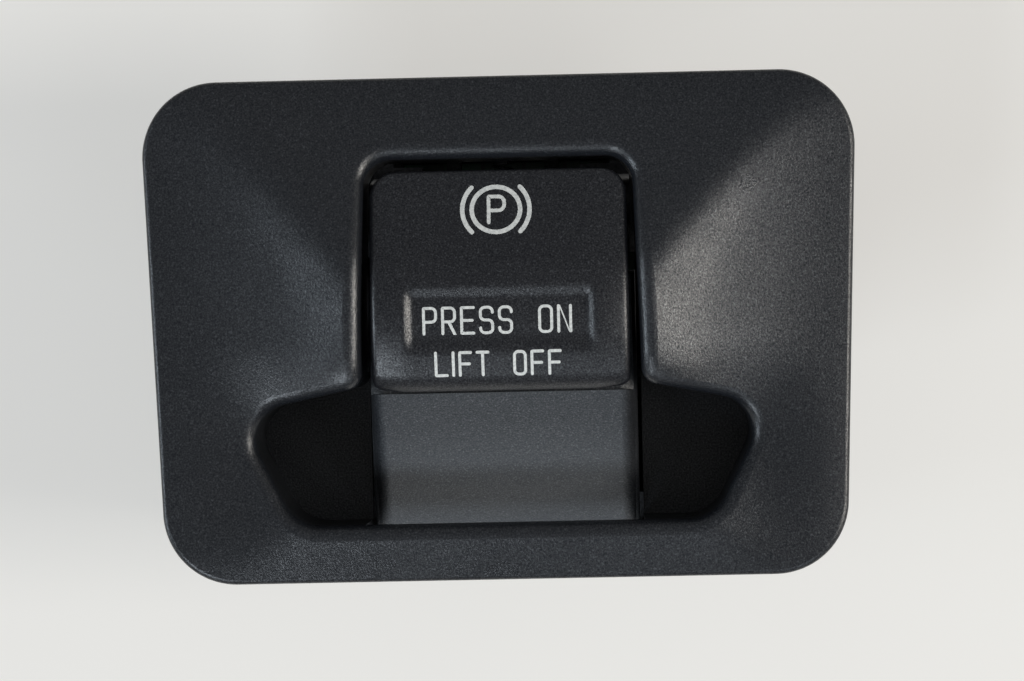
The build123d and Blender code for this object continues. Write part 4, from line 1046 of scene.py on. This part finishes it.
# %% Tree that places copies
copies, copies_inputs, given = start_tree("copies_on_points", {
    "Points": "Geometry", "Part": "Object", "Largest turn": "Float", "Seed": "Int", "Finish": "Material",
})
part = add(copies, "GeometryNodeObjectInfo", {"Object": given["Part"]}, transform_space="ORIGINAL")
chance = add(copies, "FunctionNodeRandomValue", data_type="FLOAT")
copies.links.new(given["Largest turn"], chance.inputs[3])
copies.links.new(given["Seed"], chance.inputs["Seed"])
about = add(copies, "ShaderNodeCombineXYZ", {"Y": chance.outputs[1]})
angle = add(copies, "FunctionNodeEulerToRotation", [about])
placed = add(copies, "GeometryNodeInstanceOnPoints", {
    "Points": given["Points"], "Instance": part.outputs["Geometry"], "Rotation": angle,
})
end_tree(copies, placed, given["Finish"])


def place_copies(name, part, places, finish, body, turn=0.0, seed=1):
    """Copies of a part on the given places in metres, as one plain mesh. The part is used up."""
    points = bpy.data.meshes.new("places")
    points.from_pydata([tuple(place) for place in places], [], [])
    values = {"Part": part, "Largest turn": turn, "Seed": seed, "Finish": finish}
    made = grown(new_object("places", points), copies, copies_inputs, values, name)
    bpy.data.objects.remove(part)
    made.data.materials.clear()
    made.data.materials.append(finish)
    made.data.polygons.foreach_set("material_index", [0] * len(made.data.polygons))
    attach(made, body)
    print(name, len(places), "copies,", len(made.data.polygons), "faces")
    return made


# %% [markdown]
# ## Screws
#
# The screws are zinc-plated pan heads with a cross recess, driven from behind, and cut their
# own thread in the plastic bosses. A lathe would make the blank: one outline turned about the
# axis. So the outline is written down from the tip over the shank to the head, with the
# thread as a row of ridges, and turned in steps. The recess is cut with a tapered cross.

# %% A turned body with a recess


def turned(name, outline, steps=32):
    """A body turned about the Y axis from (radius, y) pairs in millimetres, closed at both ends."""
    angles, faces = [2 * pi * i / steps for i in range(steps)], []
    points = [(radius * cos(a), y, radius * sin(a)) for radius, y in outline for a in angles]
    for k in range(len(outline) - 1):
        for i in range(steps):
            a, b = k * steps + i, k * steps + (i + 1) % steps
            faces.append((a, a + steps, b + steps, b))
    faces.append(tuple(range(steps)))
    faces.append(tuple(reversed(range(len(points) - steps, len(points)))))
    return from_faces(name, points, faces)


def cut_out(piece, cutter, name, crosses_itself=False):
    """A piece without the space that a cutter takes, as a plain mesh. The cutter is used up."""
    recess = piece.modifiers.new("recess", "BOOLEAN")
    recess.object = cutter
    recess.operation = "DIFFERENCE"
    recess.solver = "EXACT"
    recess.use_self = crosses_itself
    made = plain_mesh(piece, name)
    bpy.data.objects.remove(cutter)
    return made


def tapered_cross(wing, half, high, low):
    """Two crossed wedges for a recess, widest at the height high, in millimetres."""
    cross = bmesh.new()
    for way in (0, 1):
        ring = []
        for level, size in ((high, 1.08), (low, 0.5)):
            a, b = wing * size, half * (0.6 + 0.4 * size)
            square = [(a, b), (-a, b), (-a, -b), (a, -b)]
            places = [(p, level, q) if way else (q, level, p) for p, q in square]
            ring.append([cross.verts.new(Vector(place) * MM) for place in places])
        for i in range(4):
            cross.faces.new((ring[0][i], ring[0][(i + 1) % 4], ring[1][(i + 1) % 4], ring[1][i]))
        cross.faces.new(ring[0])
        cross.faces.new(list(reversed(ring[1])))
    bmesh.ops.recalc_face_normals(cross, faces=cross.faces)
    return from_bmesh("cross", cross)


print("a turned body has 32 steps round its axis")

# %% One screw, and all of them


def screw(name, shank, length, head, height, pitch):
    """A pan head screw along Y, its head towards +Y and seated on zero."""
    core = 0.8 * shank
    outline = [(0.2 * shank, -length), (core, -length + 0.8)]
    ridge = -length + 1.0
    while ridge < -1.0:
        thread = ((core, 0), (shank, 0.32), (shank, 0.42), (core, 0.74))
        outline += [(radius, ridge + share * pitch) for radius, share in thread]
        ridge += pitch
    outline += [(shank, -0.6), (shank, 0), (head - 0.15, 0), (head, 0.15), (head, 0.45 * height)]
    arc = [radians(15 * i) for i in range(1, 6)]
    outline += [(head * cos(a) ** 0.5, height * (0.45 + 0.55 * sin(a))) for a in arc]
    outline += [(0.1 * head, height)]
    cross = tapered_cross(0.56 * head, 0.15 * head, height + 0.3, 0.25 * height)
    return cut_out(turned(name, outline), cross, name, crosses_itself=True)


def screws(node, name, shank, head, height, pitch, seed):
    """Fine screws in the places of a measured set: heads are the ends towards +Y."""
    places = screw_places[node]
    low, high = places[0]
    length = (high.y - low.y) / MM - height
    one = screw(name + "_part", shank, length, head, height, pitch)
    seats = [((low.x + high.x) / 2, high.y - height * MM, (low.z + high.z) / 2) for low, high in places]
    made = place_copies(name, one, seats, zinc_plate, "base", turn=pi / 2, seed=seed)
    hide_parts(node)


large = {"shank": 1.35, "head": 2.6, "height": 1.8, "pitch": 1.05}
small = {"shank": 1.0, "head": 1.9, "height": 1.2, "pitch": 0.7}
screws("housing_screws", "zinc_housing_screws", **large, seed=3)
screws("cover_screws", "zinc_cover_screws", **large, seed=7)
screws("board_screws", "zinc_board_screws", **small, seed=11)

# %% [markdown]
# ## Springs
#
# Two coil springs of round wire hold the slider in the middle. A spring maker winds the wire
# at an even pitch and closes the last turn at each end, so that the spring stands flat. The
# tree draws that path: a line of points is bent round the axis, and the height rises with a
# soft start and end. A round profile is swept along it.

# %% Tree that winds a spring
winding, winding_inputs, given = start_tree("closed_coil_spring", {
    "Blank": "Geometry", "Turns": "Float", "Coil radius": "Float", "Wire radius": "Float",
    "Height": "Float", "Foot": "Vector", "Finish": "Material",
})
steps_of_wire, sides_of_wire = 240, 10
closing_rise = 2.1  # of the whole line, in wire thicknesses, so that the end turns lie closed
wire = add(winding, "GeometryNodeCurvePrimitiveLine", {"End": (0, 0, 1)})
wire = add(winding, "GeometryNodeResampleCurve", {"Curve": wire, "Count": steps_of_wire}, mode="COUNT")
share = add(winding, "GeometryNodeSplineParameter").outputs["Factor"]
whole_turn = add(winding, "ShaderNodeMath", [given["Turns"], 2 * pi], operation="MULTIPLY")
angle = add(winding, "ShaderNodeMath", [share, whole_turn], operation="MULTIPLY")
across_coil = {}
for axis, wave in (("X", "COSINE"), ("Y", "SINE")):
    swing = add(winding, "ShaderNodeMath", [angle], operation=wave)
    across_coil[axis] = add(winding, "ShaderNodeMath", [swing, given["Coil radius"]], operation="MULTIPLY")
rise = add(winding, "ShaderNodeMapRange", [share, 0.1, 0.9, 0, 1], interpolation_type="SMOOTHSTEP")
thick = add(winding, "ShaderNodeMath", [given["Wire radius"], 2], operation="MULTIPLY")
lead = add(winding, "ShaderNodeMath", [share, thick], operation="MULTIPLY")
lead = add(winding, "ShaderNodeMath", [lead, closing_rise], operation="MULTIPLY")
spare = add(winding, "ShaderNodeMath", [thick, closing_rise + 1], operation="MULTIPLY")
spare = add(winding, "ShaderNodeMath", [given["Height"], spare], operation="SUBTRACT")
z = add(winding, "ShaderNodeMath", [rise, spare, lead], operation="MULTIPLY_ADD")
z = add(winding, "ShaderNodeMath", [z, given["Wire radius"]], operation="ADD")
point = add(winding, "ShaderNodeCombineXYZ", {**across_coil, "Z": z})
point = add(winding, "ShaderNodeVectorMath", [point, given["Foot"]], operation="ADD")
wound = add(winding, "GeometryNodeSetPosition", {"Geometry": wire, "Position": point})
round_wire = add(winding, "GeometryNodeCurvePrimitiveCircle", {
    "Resolution": sides_of_wire, "Radius": given["Wire radius"],
})
swept = add(winding, "GeometryNodeCurveToMesh", {
    "Curve": wound, "Profile Curve": round_wire, "Fill Caps": True,
})
end_tree(winding, swept, given["Finish"])

# %% Two springs
wire_radius, coil_play = 0.21 * MM, 0.01 * MM


def spring(node, name, turns):
    """A round-wire spring in the place of a measured one."""
    low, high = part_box(node)
    middle = (low + high) / 2
    values = {
        "Turns": turns, "Coil radius": (high.x - low.x) / 2 - wire_radius - coil_play,
        "Wire radius": wire_radius, "Height": high.z - low.z,
        "Foot": (middle.x, middle.y, low.z), "Finish": oiled_spring_steel,
    }
    blank = new_object("wound", bpy.data.meshes.new("wound"))
    made = grown(blank, winding, winding_inputs, values, name)
    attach(made, "base")
    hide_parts(node)
    print(name, "is", round((high.z - low.z) / MM, 1), "mm long with", turns, "turns")


spring("upper_spring", "wound_upper_spring", 7.0)
spring("lower_spring", "wound_lower_spring", 6.5)

# %% [markdown]
# ## Chip, lamps and small parts
#
# The chip's body has sloped sides, because it has to leave its mould, and a small dimple that
# marks the first leg. Its legs are stamped strips bent like a gull's wing: out of the body,
# down, and flat on the board. The small parts are ceramic blocks with tinned ends. All sit on
# the back of the board, where the cover hides them, but someone who opens the cover sees them.
# The two lamps sit on the board's front, behind the light guide: white ceramic blocks, each
# with a low dome over its yellow layer. The stop pads are rubber blocks whose edges are round
# from the mould. Blocks with rounded edges come from one function that makes a box and bevels
# it, which is quicker than drawing each.

# %% Blocks with sloped and rounded sides


def block(name, low, high, rounding, slope=0.0):
    """A closed block between two corners in millimetres. slope draws in the face towards +Y."""
    shape = bmesh.new()
    corners = []
    for y, inset in ((low[1], 0), (high[1], slope)):
        square = [(low[0] + inset, low[2] + inset), (high[0] - inset, low[2] + inset)]
        square += [(high[0] - inset, high[2] - inset), (low[0] + inset, high[2] - inset)]
        corners.append([shape.verts.new(Vector((x, y, z)) * MM) for x, z in square])
    shape.faces.new(corners[0])
    shape.faces.new(list(reversed(corners[1])))
    for i in range(4):
        j = (i + 1) % 4
        shape.faces.new((corners[0][j], corners[0][i], corners[1][i], corners[1][j]))
    bmesh.ops.recalc_face_normals(shape, faces=shape.faces)
    edges = shape.edges[:]
    bmesh.ops.bevel(shape, geom=edges, offset=rounding * MM, segments=2, affect="EDGES", profile=0.5)
    return from_bmesh(name, shape)


print("a block is a box with every edge rounded in two steps")

# %% Chip
chip_low, chip_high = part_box("controller_chip")
board_back = chip_low.y / MM
chip_mid_z = (chip_low.z + chip_high.z) / 2 / MM
chip_half_x, chip_half_z, chip_under, chip_top = 5, 3.5, board_back + 0.12, board_back + 1.5
chip_blank = block("chip_blank", (-chip_half_x, chip_under, chip_mid_z - chip_half_z),
                   (chip_half_x, chip_top, chip_mid_z + chip_half_z), 0.1, slope=0.25)
chip_blank.data.materials.append(chip_epoxy)
chip_mark = turned("mark", [(0.45, -0.1), (0.45, 1)], 20)
mark_place = Vector((1 - chip_half_x, chip_top - 0.02, chip_mid_z + 1 - chip_half_z))
chip_mark.data.transform(Matrix.Translation(mark_place * MM))
chip_body = cut_out(chip_blank, chip_mark, "epoxy_chip_body")
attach(chip_body, "base")
print("chip", 2 * chip_half_x, "x", 2 * chip_half_z, "mm,", len(chip_body.data.polygons), "faces")

# %% The chip's legs
leg_line = [(0, 0.8), (0.25, 0.8), (0.4, 0.68), (0.62, 0.2), (0.75, 0.08), (1.35, 0.08)]
leg_half, strip_half, leg_step, leg_root = 0.2, 0.07, 1.27, 3.4
leg_points, leg_faces = [], []
for x in (-leg_half, leg_half):
    for out, up in leg_line:
        leg_points += [(x, up + strip_half, out), (x, up - strip_half, out)]
count = 2 * len(leg_line)
for k in range(len(leg_line) - 1):
    a = 2 * k
    leg_faces += [(a, a + 2, a + 3, a + 1), (count + a, count + a + 1, count + a + 3, count + a + 2)]
    leg_faces += [(a, count + a, count + a + 2, a + 2), (a + 1, a + 3, count + a + 3, count + a + 1)]
leg_faces += [(0, 1, count + 1, count), (count - 2, 2 * count - 2, 2 * count - 1, count - 1)]
for row, way in (("upper", 1), ("lower", -1)):
    leg = from_faces("leg", [(way * x, y, way * z) for x, y, z in leg_points], leg_faces)
    root_z = chip_mid_z + way * leg_root
    roots = [Vector((leg_step * (i - 3.5), board_back, root_z)) * MM for i in range(8)]
    place_copies("tinned_legs_" + row, leg, roots, bright_tin, "base")
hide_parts("controller_chip")

# %% Small parts
part_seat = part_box("board_components")[0].y
part_middles = [(low + high) / 2 for low, high in bodies_of("board_components")]
seats = [(middle.x, part_seat, middle.z) for middle in part_middles]
ceramic = block("ceramic", (-0.62, 0.03, -0.56), (0.62, 0.72, 0.56), 0.05)
ceramics = place_copies("ceramic_part_bodies", ceramic, seats, part_ceramic, "base")
for side, left in (("left", -1), ("right", 0.62)):
    end = block("end", (left, 0, -0.6), (left + 0.38, 0.78, 0.6), 0.08)
    place_copies("tinned_" + side + "_ends", end, seats, bright_tin, "base")
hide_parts("board_components")

# %% Lamps
lamp_bodies = bodies_of("backlight_leds")
lamp_seats = [((low.x + high.x) / 2, high.y, (low.z + high.z) / 2) for low, high in lamp_bodies]
lamp_low, lamp_high = lamp_bodies[0]
lamp_wide, lamp_tall = (lamp_high.x - lamp_low.x) / MM, (lamp_high.z - lamp_low.z) / MM
dome_height, dome_radius = 0.5, 1.2
dome_base = (lamp_low.y - lamp_high.y) / MM + dome_height
lamp_block = block("lamp_block", (-lamp_wide / 2, dome_base, -lamp_tall / 2),
                   (lamp_wide / 2, 0, lamp_tall / 2), 0.1)
lamp_blocks = place_copies("ceramic_lamp_bodies", lamp_block, lamp_seats, lamp_ceramic, "base")
dome_angles = [radians(a) for a in (8, 25, 42, 58, 74, 90)]
dome_line = [(dome_radius * sin(a), dome_base - dome_height * cos(a)) for a in dome_angles]
dome = turned("dome", [*dome_line, (dome_radius, dome_base + 0.1)], 28)
place_copies("phosphor_lamp_domes", dome, lamp_seats, lamp_phosphor, "base")
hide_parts("backlight_leds")

# %% Stop pads
pad_rounding = 0.25
pad_shape = bmesh.new()
for low, high in bodies_of("stop_pads"):
    pad = block("pad", low / MM, high / MM, pad_rounding)
    pad_shape.from_mesh(pad.data)
    bpy.data.objects.remove(pad)
pad_blank = from_bmesh("pad_blank", pad_shape)
pad_blank.data.materials.append(pad_rubber)
rounded_pads = plain_mesh(pad_blank, "rounded_stop_pads")
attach(rounded_pads, "base")
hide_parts("stop_pads")
print("four pads,", len(rounded_pads.data.polygons), "faces")

# %% [markdown]
# ## Everything else keeps its measured shape
#
# The plate, the wedge, the housing, the cover and the other measured parts already have their
# right shapes. They only take the finish that their real material has.

# %% Finishes of the measured parts
finishes = [
    (grained_abs, "bezel"),
    (satin_cap, "key_cap"),
    (coarse_grip, "grip_body"),
    (filled_pbt, "switch_housing rear_cover pin_header"),
    (natural_acetal, "contact_slider"),
    (pad_rubber, "stop_pads"),
    (oiled_spring_steel, "panel_clips upper_spring lower_spring"),
    (pin_steel, "pivot_pin drive_pin"),
    (sintered_bronze, "pivot_bushes"),
    (zinc_plate, "housing_screws cover_screws board_screws"),
    (gold_flash, "contact_tracks contact_wipers connector_pins"),
    (solder_resist, "circuit_board"),
    (chip_epoxy, "controller_chip"),
    (part_ceramic, "board_components"),
    (lamp_ceramic, "backlight_leds"),
    (clear_polycarbonate, "light_guide"),
]
dressed_parts = [(node, finish) for finish, names in finishes for node in names.split()]
for node, finish in dressed_parts:
    nodes[node].data.materials.clear()
    nodes[node].data.materials.append(finish)
print(len(dressed_parts), "measured parts dressed")

# %% Clear the working side view
bpy.data.objects.remove(side_view)
